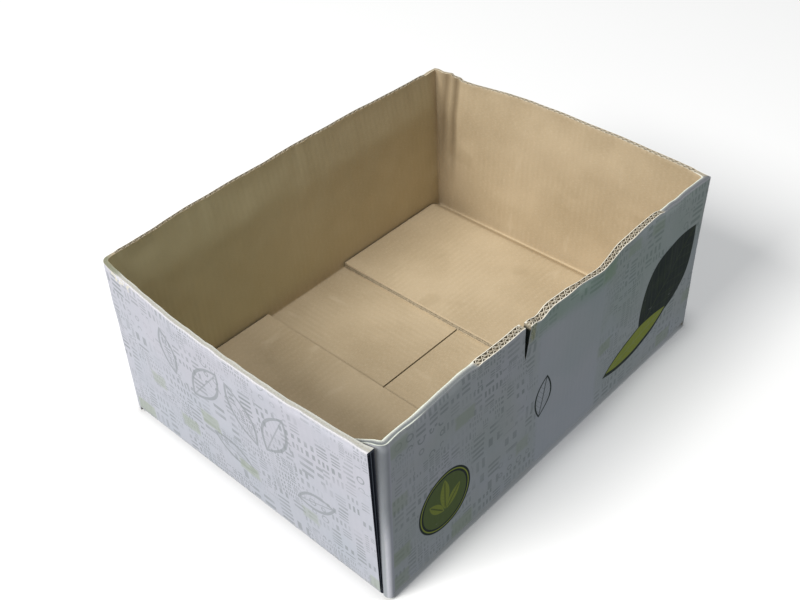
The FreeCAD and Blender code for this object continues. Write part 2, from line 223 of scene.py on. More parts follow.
class Plan:
    """Stretches of the strip in the order of the blank, from the raw end to the glued tab."""

    def __init__(self, sizes: BoxSizes) -> None:
        """Lay out all stretches.

        Args:
            sizes: driving sizes of the box.
        """
        self.sizes = sizes
        self.stretches = self._walls()
        self.starts: list[float] = []
        run = 0.0
        for stretch in self.stretches:
            self.starts.append(run)
            run += stretch.span
        self.total = run

    def left_face(self, y: float, at_rim: bool) -> float:
        """Outer face of the left wall, for a distance from the near plane."""
        s = self.sizes
        if not at_rim:
            return mix(-s.lap_base, s.skew, (y - s.fold) / (s.width - 2 * s.fold))
        share = (y - s.end_rim) / (s.width - s.fold - s.end_rim)
        return mix(-s.lap_rim, s.skew, share) - 4 * s.bow_left * share * (1 - share)

    def _walls(self) -> list[Stretch]:
        """Work out every stretch from the sizes."""
        s = self.sizes
        thick, r, b = s.board, s.fold, s.blunt
        length, width = s.length, s.width
        inside = r - thick
        lean_left = math.atan(2 * s.bow_left / (width - r - s.end_rim))
        lean_far = math.atan(2 * s.bow_far / (length - s.skew - r - b))
        lean_right = math.atan(2 * s.bow_right / (width - r - b))

        def wall(start: Sequence[float], end: Sequence[float], sag: float,
                 way_in: Sequence[float], rim_start: Sequence[float] | None = None,
                 rim_end: Sequence[float] | None = None) -> tuple[tuple[Edge, Edge], tuple[Edge, Edge]]:
            """Faces of a straight wall that bows at the rim; way_in points through the board."""
            rim_start, rim_end = rim_start or start, rim_end or end
            into = [thick * part for part in way_in]

            def moved(place: Sequence[float]) -> tuple[float, float]:
                """Place on the inner face behind a place on the outer face."""
                return place[0] + into[0], place[1] + into[1]

            outer = Edge(tuple(start), tuple(end)), Edge(tuple(rim_start), tuple(rim_end), sag)
            inner = Edge(moved(start), moved(end)), Edge(moved(rim_start), moved(rim_end), sag)
            return outer, inner

        turn, end = s.tab_turn, s.tab_width
        left_share = (width - r - turn) / (width - r - s.end_rim)
        base_turn, rim_turn = self.left_face(turn, False), self.left_face(turn, True)
        base_end, rim_end = self.left_face(end, False), self.left_face(end, True)
        far_left = (s.skew, width - r), (s.skew + r, width)
        near_right = (length, r), (length - r, 0.0)
        far_right = (length - r, width), (length, width - r)
        blunt_right = (length - b, width), (length, width - b)
        joint_radius = ((s.crease - s.pinch) ** 2 + r * r) / (2 * r)
        joint_half = math.hypot(s.crease - s.pinch, r) / 2
        joint_sag = joint_radius - math.sqrt(joint_radius ** 2 - joint_half ** 2)
        gap = TAB_GAP

        left = wall((base_turn, turn), far_left[0], s.bow_left * left_share ** 2, (1, 0),
                    (rim_turn, turn))
        far = wall(far_left[1], far_right[0], s.bow_far, (0, -1), None, blunt_right[0])
        right = wall(far_right[1], near_right[0], s.bow_right, (-1, 0), blunt_right[1])
        beyond = wall(near_right[1], (s.tear_place, 0.0), -s.dip_near, (0, 1))
        before = wall((s.tear_place, 0.0), (s.crease, 0.0), -s.dip_near, (0, 1), None, (r, 0.0))
        before = before[0], (Edge((s.tear_place, thick), (r, thick)), before[1][1])
        return [
            Stretch("raw_end",
                    (Edge((-s.lap_base, r), (base_turn, turn)),
                     Edge((-s.lap_rim, s.end_rim), (rim_turn, turn))),
                    (Edge((s.pinch - gap, r), (base_turn + thick, turn)),
                     Edge((thick - s.lap_rim, s.end_rim), (rim_turn + thick, turn))),
                    END_STEP, turn - s.end_rim, "left"),
            Stretch("left", *left, WALL_STEP, width - r - turn, "left"),
            Stretch("far_left",
                    (Edge(*far_left, corner_sag(r)),
                     Edge(*far_left, corner_sag(r, lean_left, lean_far))),
                    (Edge((s.skew + thick, width - r), (s.skew + r, width - thick),
                          corner_sag(inside)),) * 2, FOLD_STEP, r * math.pi / 2),
            Stretch("far", *far, WALL_STEP, length - s.skew - 2 * r, "far"),
            Stretch("far_right",
                    (Edge(*far_right, corner_sag(r)),
                     Edge(*blunt_right, corner_sag(b, lean_right, lean_far))),
                    (Edge((length - r, width - thick), (length - thick, width - r),
                          corner_sag(inside)),
                     Edge((length - b, width - thick), (length - thick, width - b),
                          corner_sag(b - thick))), FOLD_STEP, r * math.pi / 2),
            Stretch("right", *right, WALL_STEP, width - 2 * r, "right"),
            Stretch("near_right",
                    (Edge(*near_right, corner_sag(r)), Edge(*near_right, corner_sag(r, lean_right))),
                    (Edge((length - thick, r), (length - r, thick), corner_sag(inside)),) * 2,
                    FOLD_STEP, r * math.pi / 2),
            Stretch("near_beyond", *beyond, WALL_STEP, length - r - s.tear_place, "near"),
            Stretch("near_before", *before, WALL_STEP, s.tear_place - r, "near"),
            Stretch("joint",
                    (Edge((s.crease, 0.0), (s.pinch, r), joint_sag),
                     Edge((r, 0.0), (0.0, r), corner_sag(r))),
                    (Edge((r, thick), (thick, r), corner_sag(inside)),) * 2,
                    JOINT_STEP, r * math.pi / 2),
            Stretch("tab_turn",
                    (Edge((s.pinch, r), (base_turn + thick + gap, turn)),
                     Edge((0.0, r), (rim_turn + thick + gap, turn))),
                    (Edge((thick, r), (base_turn + 2 * thick, turn)),
                     Edge((thick, r), (rim_turn + 2 * thick, turn))), END_STEP, turn - r),
            Stretch("tab",
                    (Edge((base_turn + thick + gap, turn), (base_end + thick + gap, end)),
                     Edge((rim_turn + thick + gap, turn), (rim_end + thick + gap, end))),
                    (Edge((base_turn + 2 * thick, turn), (base_end + 2 * thick, end)),
                     Edge((rim_turn + 2 * thick, turn), (rim_end + 2 * thick, end))),
                    TAB_STEP, end - turn),
        ]

    def index(self, name: str) -> int:
        """Place of a stretch in the strip, by its name."""
        return next(k for k, stretch in enumerate(self.stretches) if stretch.name == name)

    def find(self, run: float) -> tuple[int, float]:
        """Stretch and share of its way for a distance along the strip."""
        for k, stretch in enumerate(self.stretches):
            if run <= self.starts[k] + stretch.span + 1e-9:
                return k, max(0.0, (run - self.starts[k]) / stretch.span)
        return len(self.stretches) - 1, 1.0


@dataclass(frozen=True)
class Section:
    """Fold and flap seen from the end, walked down along the outer face from a wall's base.

    Each piece is a length and the angle by which the way turns in it, in degrees.
    """

    start_height: float
    pieces: tuple[tuple[float, float], ...]

    @property
    def span(self) -> float:
        """Length of the whole way."""
        return sum(length for length, _ in self.pieces)

    def at(self, walked: float) -> tuple[Vector, Vector]:
        """Point of the outer face and direction through the board.

        Args:
            walked: distance along the outer face from the wall's base.

        Returns:
            The point and the unit direction, each as inward distance and height.
        """
        place, heading = Vector((0.0, self.start_height)), -math.pi / 2
        for length, degrees in self.pieces:
            part, turn = min(walked, length), math.radians(degrees)
            if turn:
                radius, angle = length / turn, turn * part / length
                before = aimed(heading + math.pi / 2)
                heading += angle
                place = place + (before - aimed(heading + math.pi / 2)) * radius
            else:
                place = place + aimed(heading) * part
            walked -= part
            if walked <= 0:
                break
        return place, aimed(heading + math.pi / 2)


@dataclass(frozen=True)
class PressedCorner:
    """The right wall beside its far corner: upright ridges, and a rim pressed in and down.

    Spans are distances past the corner along the sheet, in millimetres.
    """

    ridge: float = 1.5
    pitch: float = 12.5
    crest: float = 3.5
    ridges_from: tuple[float, float] = (-3.0, 2.0)
    ridges_to: tuple[float, float] = (20.0, 27.0)
    uneven: float = 5.0
    press: float = 2.6
    press_from: tuple[float, float] = (0.0, 8.0)
    press_to: tuple[float, float] = (14.0, 70.0)
    sink: float = 3.0
    sink_from: tuple[float, float] = (15.0, 26.0)
    sink_to: tuple[float, float] = (30.0, 110.0)
    peak: float = -2.0
    peak_reach: float = 14.0
    peak_loss: float = 0.3

    def push(self, past: float, rise: float) -> float:
        """How far the wall is pushed in, for a distance past the corner and a share of the rise."""
        ridges = self.ridge * math.cos(math.tau * (past - self.crest) / self.pitch)
        ridges *= smooth(*self.ridges_from, past) * (1 - smooth(*self.ridges_to, past))
        ridges *= 0.9 + waver(past / self.uneven)
        pressed = smooth(*self.press_from, past) * (1 - smooth(*self.press_to, past))
        return ridges * rise ** 0.5 + self.press * pressed * rise

    def lowered(self, past: float, lost: float) -> float:
        """How low the rim lies, where it would have lost the given height elsewhere."""
        kept = min(1.0, self.peak_loss + smooth(0, self.peak_reach, abs(past - self.peak)))
        sunk = smooth(*self.sink_from, past) * (1 - smooth(*self.sink_to, past))
        return lost * kept + self.sink * sunk


@dataclass(frozen=True)
class Handling:
    """What packing and carrying did to the walls: waves, crushed rims and the open tear.

    A bow is a place along the near wall, its reach and how far the rim bulges out there, and a
    dip is a place, its reach and how low the rim lies. A pinch is a stretch, a share of its way
    and the shares of the board's thickness lost on the outer and on the inner face.
    """

    wave: float = 2.0
    near_wave: float = 3.0
    wave_length: float = 60.0
    dent: float = 0.5
    dent_length: float = 17.0
    dent_height: float = 26.0
    calm_start: tuple[float, float] = (34.0, 90.0)
    calm_end: tuple[float, float] = (75.0, 45.0)
    rim_loss: float = 1.1
    loss_length: float = 13.0
    sway: float = 0.5
    sway_length: float = 45.0
    loss_height: float = 16.0
    outer_pinch_height: float = 8.0
    inner_pinch_height: float = 45.0
    pinch_length: float = 11.0
    lip: float = 0.9
    reach: float = 24.0
    gape: float = 0.4
    fray: float = 0.5
    tab_slant: float = 9.0
    near_point: tuple[float, float] = (0.3, 0.3)
    far_point: tuple[float, float] = (4.5, 1.0)
    corner: PressedCorner = PressedCorner()
    bows: tuple[tuple[float, float, float], ...] = ((242.0, 22.0, 5.0), (325.0, 25.0, -1.5))
    dips: tuple[tuple[float, float, float], ...] = ((169.0, 9.0, 4.2),)
    pinches: tuple[tuple[str, float, float, float], ...] = (
        ("raw_end", 0.0, 0.0, 0.0),
        ("left", 0.0, 0.14, 0.16),
        ("left", 1.0, 0.05, 0.35),
        ("far", 0.03, 0.0, 0.56),
        ("far", 0.97, 0.0, 0.56),
        ("right", 0.03, 0.0, 0.48),
        ("right", 0.97, 0.0, 0.3),
        ("near_right", 0.5, 0.0, 0.15),
        ("near_beyond", 0.06, 0.08, 0.2),
        ("near_beyond", 0.23, 0.12, 0.2),
        ("near_beyond", 0.30, 0.14, 0.05),
        ("near_beyond", 0.45, 0.0, 0.0),
        ("near_beyond", 0.64, 0.0, 0.18),
        ("near_beyond", 0.74, 0.15, 0.2),
        ("near_beyond", 0.80, 0.0, 0.0),
        ("near_before", 0.36, 0.0, 0.0),
        ("near_before", 0.42, 0.12, 0.12),
        ("joint", 1.0, 0.12, 0.16),
        ("tab", 1.0, 0.0, 0.45),
    )

    def tear_shift(self, sizes: BoxSizes, x: float, side: int, drop: float) -> tuple[float, float]:
        """Sideways shift and outward push of a place beside the tear.

        Args:
            sizes: driving sizes of the box.
            x: place along the near wall.
            side: 1 beyond the tear and -1 before it.
            drop: distance down from the rim.

        Returns:
            The two distances.
        """
        near = max(0.0, 1 - abs(x - sizes.tear_place) / self.reach)
        open_share = max(0.0, 1 - drop / sizes.tear_depth)
        closing = 1 - smooth(sizes.tear_depth, 2 * sizes.tear_depth, drop)
        lean = -sizes.tear_lean * (1 - open_share) * closing
        spread = side * open_share ** self.gape * sizes.tear_mouth / 2
        fray = self.fray * waver(drop * 0.9, side * 7.0) * min(1.0, 4 * open_share) * near ** 6
        return near * (lean + spread) + fray, side * self.lip * open_share * near ** 2


class Blank:
    """Maps the flat blank to the folded box."""

    def __init__(self, plan: Plan, handling: Handling) -> None:
        """Set up the sections of the flaps.

        Args:
            plan: the strip of walls.
            handling: wear of the walls.
        """
        self.plan = plan
        self.handling = handling
        sizes = self.sizes = plan.sizes
        self.wall_drop = sizes.height - sizes.fold
        self.tab_drop = sizes.height - 2 * sizes.board - 1.0
        steep = math.atan(sizes.board / RAMP_LENGTH)
        knee, lift = RAMP_KNEE, sizes.board + FLAP_GAP
        climb = (lift - (sizes.fold + knee) * (1 - math.cos(steep))) / math.sin(steep)
        ramp_end = sizes.fold + (sizes.fold + knee) * math.sin(steep) + climb * math.cos(steep)
        turn = math.pi / 2 + steep
        outer_flat = (sizes.width - sizes.seam_gap) / 2 - sizes.fold
        outer = Section(sizes.fold, ((sizes.fold * math.pi / 2, 90.0), (outer_flat, 0.0)))
        inner = Section(sizes.fold, ((sizes.fold * turn, math.degrees(turn)), (climb, 0.0),
                                     (knee * steep, -math.degrees(steep)),
                                     (sizes.inner_flap - ramp_end, 0.0)))
        self.sections = {"near": outer, "far": outer, "left": inner, "right": inner}
        self.pinches = [(plan.starts[k] + share * plan.stretches[k].span, outer, inner)
                        for name, share, outer, inner in handling.pinches
                        for k in (plan.index(name),)]
        self.joint_run = plan.starts[plan.index("joint")]
        self.far_corner = plan.starts[plan.index("far_right")] + sizes.fold
        self.tear_run = plan.starts[plan.index("near_before")]
        near, far = handling.near_point, handling.far_point
        self.points = {"near_right": (Vector((sizes.length - near[0], near[1])), 0.0),
                       "far_right": (Vector((sizes.length - far[0], sizes.width - far[1])), 1.0)}

    def across(self, run: float) -> float:
        """Place on the printed sheet for a distance along the strip: how far right of the joint."""
        return self.joint_run + self.sizes.fold - run

    def sheet(self, run: float, drop: float) -> tuple[float, float]:
        """Place on the flat sheet as printed, in metres: right of the joint and up from the base."""
        return self.across(run) * METRES, (self.sizes.height - drop) * METRES

    def openness(self, run: float) -> float:
        """How open the flutes are at the rim: 1 where they can be seen into, 0 where crushed."""
        most = 0.0
        for start, end in self.open_runs():
            most = max(most, smooth(start - 1, start + 3, run) - smooth(end - 3, end + 1, run))
        return most

    def pinch(self, run: float) -> tuple[float, float]:
        """Shares of the thickness lost at the rim on the outer and on the inner face."""
        for (start, *low), (end, *high) in zip(self.pinches, self.pinches[1:]):
            if run <= end:
                share = smooth(start, end, run)
                outer, inner = (mix(a, b, share) for a, b in zip(low, high))
                uneven = 1 + 0.35 * waver(run / self.handling.pinch_length)
                return outer * uneven, inner * uneven
        return self.pinches[-1][1:]

    def open_runs(self) -> list[tuple[float, float]]:
        """Runs of rim whose flutes are open, as distances along the strip."""
        s, plan = self.sizes, self.plan
        found = []
        for name, start, end in (("far", s.fold_crush, s.fold_crush),
                                 ("right", s.fold_crush, s.fold_crush),
                                 ("near_beyond", s.length - s.fold - s.open_to, s.tear_mouth / 2),
                                 ("near_before", s.tear_mouth / 2, s.open_from - s.fold)):
            k = plan.index(name)
            found.append((plan.starts[k] + start, plan.starts[k] + plan.stretches[k].span - end))
        return found

    def push(self, k: int, run: float, drop: float) -> float:
        """How far a wall is pushed in at a place, as waves and dents."""
        hand, total = self.handling, self.plan.total
        rise = max(0.0, 1 - drop / self.wall_drop)
        ends = total - hand.calm_end[0], total - hand.calm_end[1]
        settled = smooth(*hand.calm_start, run) * (1 - smooth(*ends, run))
        bowed = sum(size * bell(self.across(run), *spot) for *spot, size in hand.bows)
        wave = hand.near_wave if self.plan.stretches[k].flap == "near" else hand.wave
        rims = wave * waver(run / hand.wave_length) * rise ** 1.2
        dents = waver(run / hand.dent_length, drop / hand.dent_height)
        dents *= hand.dent * min(1.0, 4 * rise)
        corner = hand.corner.push(run - self.far_corner, rise)
        return settled * (rims + dents) + corner - bowed * rise ** 2

    def _sharpen(self, name: str, share: float, rise: float, depth: float) -> Vector:
        """Shift on the plan that draws a corner of the rim out to a point.

        Args:
            name: name of the stretch.
            share: share of the stretch's way.
            rise: 0 at the base and 1 at the rim.
            depth: share of the board's thickness.

        Returns:
            The shift, which is nothing for a stretch that isn't such a corner.
        """
        if name not in self.points:
            return Vector((0.0, 0.0))
        stretch = self.plan.stretches[self.plan.index(name)]
        start, end = (stretch.at(place, rise, 0.0) for place in (0.0, 1.0))
        point, inner_share = self.points[name]
        leg = 2 * share
        sharp = start.lerp(point, leg) if leg < 1 else point.lerp(end, leg - 1)
        weight = rise ** 1.5 * mix(1.0, inner_share, depth)
        return (sharp - stretch.at(share, rise, 0.0)) * weight

    def place(self, k: int, share: float, drop: float, depth: float) -> Vector:
        """Place of a point of the folded board.

        Args:
            k: index of the stretch.
            share: share of the stretch's way.
            drop: distance down from the rim along the sheet.
            depth: share of the board's thickness, 0 on the outer face.

        Returns:
            The place in the frame, in metres.
        """
        stretch, s = self.plan.stretches[k], self.sizes
        run = self.plan.starts[k] + share * stretch.span
        if drop <= self.wall_drop or not stretch.flap:
            point = self._on_wall(k, share, run, drop, depth)
        else:
            point = self._on_flap(k, share, drop, depth)
        return Vector((point.x + s.shift[0], point.y + s.shift[1], point.z)) * METRES

    def _on_wall(self, k: int, share: float, run: float, drop: float, depth: float) -> Vector:
        """Point of a wall, a corner or the tab, in millimetres from the plan's corner."""
        stretch, s, hand = self.plan.stretches[k], self.sizes, self.handling
        rise = max(0.0, 1 - drop / self.wall_drop)
        closed = 1 - self.openness(run)
        lost_outer, lost_inner = self.pinch(run)
        lost_outer *= 1 - smooth(0, hand.outer_pinch_height, drop)
        lost_inner *= 1 - smooth(0, hand.inner_pinch_height, drop)
        depth = mix(lost_outer, 1 - lost_inner, depth)
        point = stretch.at(share, rise, depth)
        outer, inner = stretch.at(share, rise, 0.0), stretch.at(share, rise, 1.0)
        inward = (inner - outer).normalized()
        point = point + inward * self.push(k, run, drop)
        point = point + self._sharpen(stretch.name, share, rise, depth)
        if stretch.flap == "near":
            side = 1 if stretch.name == "near_beyond" else -1
            sideways, outward = hand.tear_shift(s, outer.x, side, drop)
            point = point + Vector((sideways, -outward))
        lost = hand.rim_loss * closed * (0.5 + waver(run / hand.loss_length))
        lost += hand.sway * (1 + waver(run / hand.sway_length))
        lost = hand.corner.lowered(run - self.far_corner, lost)
        lost += sum(size * bell(self.across(run), *spot) for *spot, size in hand.dips)
        lost *= 1 - smooth(0, hand.loss_height, drop)
        on_tab = smooth(self.joint_run + TAB_SLANT_START, self.plan.total, run)
        lost += hand.tab_slant * on_tab * max(0.0, 1 - drop / self.tab_drop)
        return Vector((point.x, point.y, s.height - drop - lost))

    def _on_flap(self, k: int, share: float, drop: float, depth: float) -> Vector:
        """Point of a fold or a flap, in millimetres from the plan's corner."""
        stretch, s = self.plan.stretches[k], self.sizes
        section = self.sections[stretch.flap]
        walked = drop - self.wall_drop
        outer, inner = stretch.at(share, 0.0, 0.0), stretch.at(share, 0.0, 1.0)
        inward = (inner - outer).normalized()
        thick = mix((inner - outer).length, s.board, smooth(0, EVEN_AFTER, walked))
        if stretch.flap in ("near", "far"):
            side = min(outer.x, s.length - outer.x)
            flat = smooth(s.fold * math.pi / 2 - 1, s.fold * math.pi / 2 + 2, walked)
            thick = mix(thick, min(thick, self._under_ramp(side)), flat)
        place, through = section.at(walked)
        plan_point = outer + inward * (place.x + through.x * depth * thick)
        return Vector((plan_point.x, plan_point.y, place.y + through.y * depth * thick))

    def _under_ramp(self, side: float) -> float:
        """Room under an inner flap's ramp, for a distance from the short wall's plane."""
        section = self.sections["right"]
        steps = 40
        for step in range(steps + 1):
            place, _ = section.at(section.span / 4 * step / steps)
            if place.x >= side and place.y < self.sizes.fold:
                return max(THINNEST, place.y - UNDER_GAP)
        return self.sizes.board


@dataclass
class SheetMesh:
    """Closed sheets thickened from patches of the blank, with their sides and sheet places."""

    blank: Blank
    vertices: list[Vector] = field(default_factory=list)
    faces: list[tuple[int, ...]] = field(default_factory=list)
    sides: list[Side] = field(default_factory=list)
    places: list[tuple[tuple[float, float], ...]] = field(default_factory=list)
    cuts: list[tuple[tuple[float, float], ...]] = field(default_factory=list)

    def thicken(self, cells: Iterable[tuple], low: float = 0.0, high: float = 1.0) -> None:
        """Add one closed sheet.

        Args:
            cells: patches as four nodes (stretch, share, drop), anticlockwise from outside.
            low: share of the board's thickness at the sheet's outer face.
            high: share of it at the sheet's inner face.
        """
        blank, index = self.blank, {}
        keyed: list[tuple] = []
        edges: dict[tuple, tuple] = {}

        def key(node: tuple) -> tuple:
            """Name of a node that is the same for each stretch that shares it."""
            k, share, drop = node
            run = blank.plan.starts[k] + share * blank.plan.stretches[k].span
            stretch, sizes = blank.plan.stretches[k], blank.sizes
            zone = ""
            if drop > blank.wall_drop + 1e-6:
                zone = stretch.flap or "corner"
            elif drop < sizes.tear_depth - 1e-6 and abs(run - blank.tear_run) < 1e-3:
                zone = stretch.name
            return round(run, 3), round(drop, 3), zone

        def vertex(node: tuple, depth: float) -> int:
            """Index of a node's vertex on one face of the sheet."""
            name = key(node) + (depth,)
            if name not in index:
                index[name] = len(self.vertices)
                self.vertices.append(blank.place(*node, depth))
            return index[name]

        for cell in cells:
            keyed.append(cell)
            for a, b in zip(cell, cell[1:] + cell[:1]):
                edges[key(a), key(b)] = (a, b)
        for cell in keyed:
            spots = tuple(blank.sheet(*key(node)[:2]) for node in cell)
            outer = tuple(vertex(node, low) for node in cell)
            inner = tuple(vertex(node, high) for node in cell)
            flat_cut = (FACE_CUT,) * 4
            self._add(outer, Side.OUTER if low == 0 else Side.CUT, spots, flat_cut)
            self._add(inner[::-1], Side.INNER if high == 1 else Side.CUT, spots[::-1], flat_cut)
        for (a_key, b_key), (a, b) in edges.items():
            if (b_key, a_key) in edges:
                continue
            spot_a, spot_b = blank.sheet(*a_key[:2]), blank.sheet(*b_key[:2])
            along = 1.0 if abs(a_key[0] - b_key[0]) > abs(a_key[1] - b_key[1]) else 0.0
            self._add((vertex(b, low), vertex(a, low), vertex(a, high), vertex(b, high)),
                      Side.CUT, (spot_b, spot_a, spot_a, spot_b),
                      ((low, along), (low, along), (high, along), (high, along)))

    def _add(self, face: tuple[int, ...], side: Side, spots: tuple, cuts: tuple) -> None:
        """Keep one face with its side, its places on the sheet and its places in the cut."""
        self.faces.append(face)
        self.sides.append(side)
        self.places.append(spots)
        self.cuts.append(cuts)

    def make(self, name: str, materials: Sequence[bpy.types.Material]) -> bpy.types.Object:
        """Turn the kept faces into an object.

        Args:
            name: name of the object.
            materials: one material for each side.

        Returns:
            The object, linked to the scene.
        """
        mesh = bpy.data.meshes.new(name)
        mesh.from_pydata([tuple(v) for v in self.vertices], [], self.faces)
        sheet = mesh.uv_layers.new(name="sheet")
        cut = mesh.attributes.new("cut", "FLOAT2", "CORNER")
        flat_spots = [part for spots in self.places for spot in spots for part in spot]
        flat_cuts = [part for cuts in self.cuts for spot in cuts for part in spot]
        sheet.data.foreach_set("uv", flat_spots)
        cut.data.foreach_set("vector", flat_cuts)
        for material in materials:
            mesh.materials.append(material)
        mesh.polygons.foreach_set("material_index", [int(side) for side in self.sides])
        mesh.shade_smooth()
        mesh.set_sharp_from_angle(angle=math.radians(SHARP_ANGLE))
        mesh.validate()
        piece = bpy.data.objects.new(name, mesh)
        bpy.context.scene.collection.objects.link(piece)
        return piece


def divide(start: float, end: float, step: float) -> list[float]:
    """Even steps from start to end, with the end left out."""
    count = max(1, round((end - start) / step))
    return [mix(start, end, k / count) for k in range(count)]


def ladder(stops: Sequence[float], step: float) -> list[float]:
    """Even steps between stops, with every stop kept."""
    rungs: list[float] = []
    for start, end in zip(stops, stops[1:]):
        rungs += divide(start, end, step)
    return rungs + [stops[-1]]


@dataclass
class Ribbon:
    """Straight strips of paper between the liners, with what is needed to wave them."""

    blank: Blank
    vertices: list[Vector] = field(default_factory=list)
    faces: list[tuple[int, ...]] = field(default_factory=list)
    inwards: list[Vector] = field(default_factory=list)
    runs: list[float] = field(default_factory=list)

    def add(self, marks: Sequence[float], drops: Sequence[float], depths: Sequence[float],
            lag: float) -> None:
        """Add one strip.

        Args:
            marks: its columns, as distances along the strip of walls.
            drops: drops of its upper and its lower edge.
            depths: shares of the board's thickness at its two faces.
            lag: shift of its waves along the wall.
        """
        blank, first = self.blank, len(self.vertices)
        for mark in marks:
            k, share = blank.plan.find(mark)
            for drop in drops:
                outer = blank.place(k, share, drop, 0.0)
                inward = (blank.place(k, share, drop, 1.0) - outer) / blank.sizes.board / METRES
                for depth in depths:
                    self.vertices.append(blank.place(k, share, drop, depth))
                    self.inwards.append(inward)
                    self.runs.append(mark + lag)
        ring = (0, 1, 3, 2)
        starts = range(first, len(self.vertices), len(ring))
        for here, there in zip(starts, starts[1:]):
            for a, b in zip(ring, ring[1:] + ring[:1]):
                self.faces.append((here + a, here + b, there + b, there + a))
        self.faces.append(tuple(first + corner for corner in ring[::-1]))
        self.faces.append(tuple(starts[-1] + corner for corner in ring))

    def make(self, name: str) -> bpy.types.Object:
        """Turn the strips into an object that is linked to the scene."""
        mesh = bpy.data.meshes.new(name)
        mesh.from_pydata([tuple(v) for v in self.vertices], [], self.faces)
        inward = mesh.attributes.new("inward", "FLOAT_VECTOR", "POINT")
        inward.data.foreach_set("vector", [part for way in self.inwards for part in way])
        mesh.attributes.new("run", "FLOAT", "POINT").data.foreach_set("value", self.runs)
        piece = bpy.data.objects.new(name, mesh)
        bpy.context.scene.collection.objects.link(piece)
        return piece


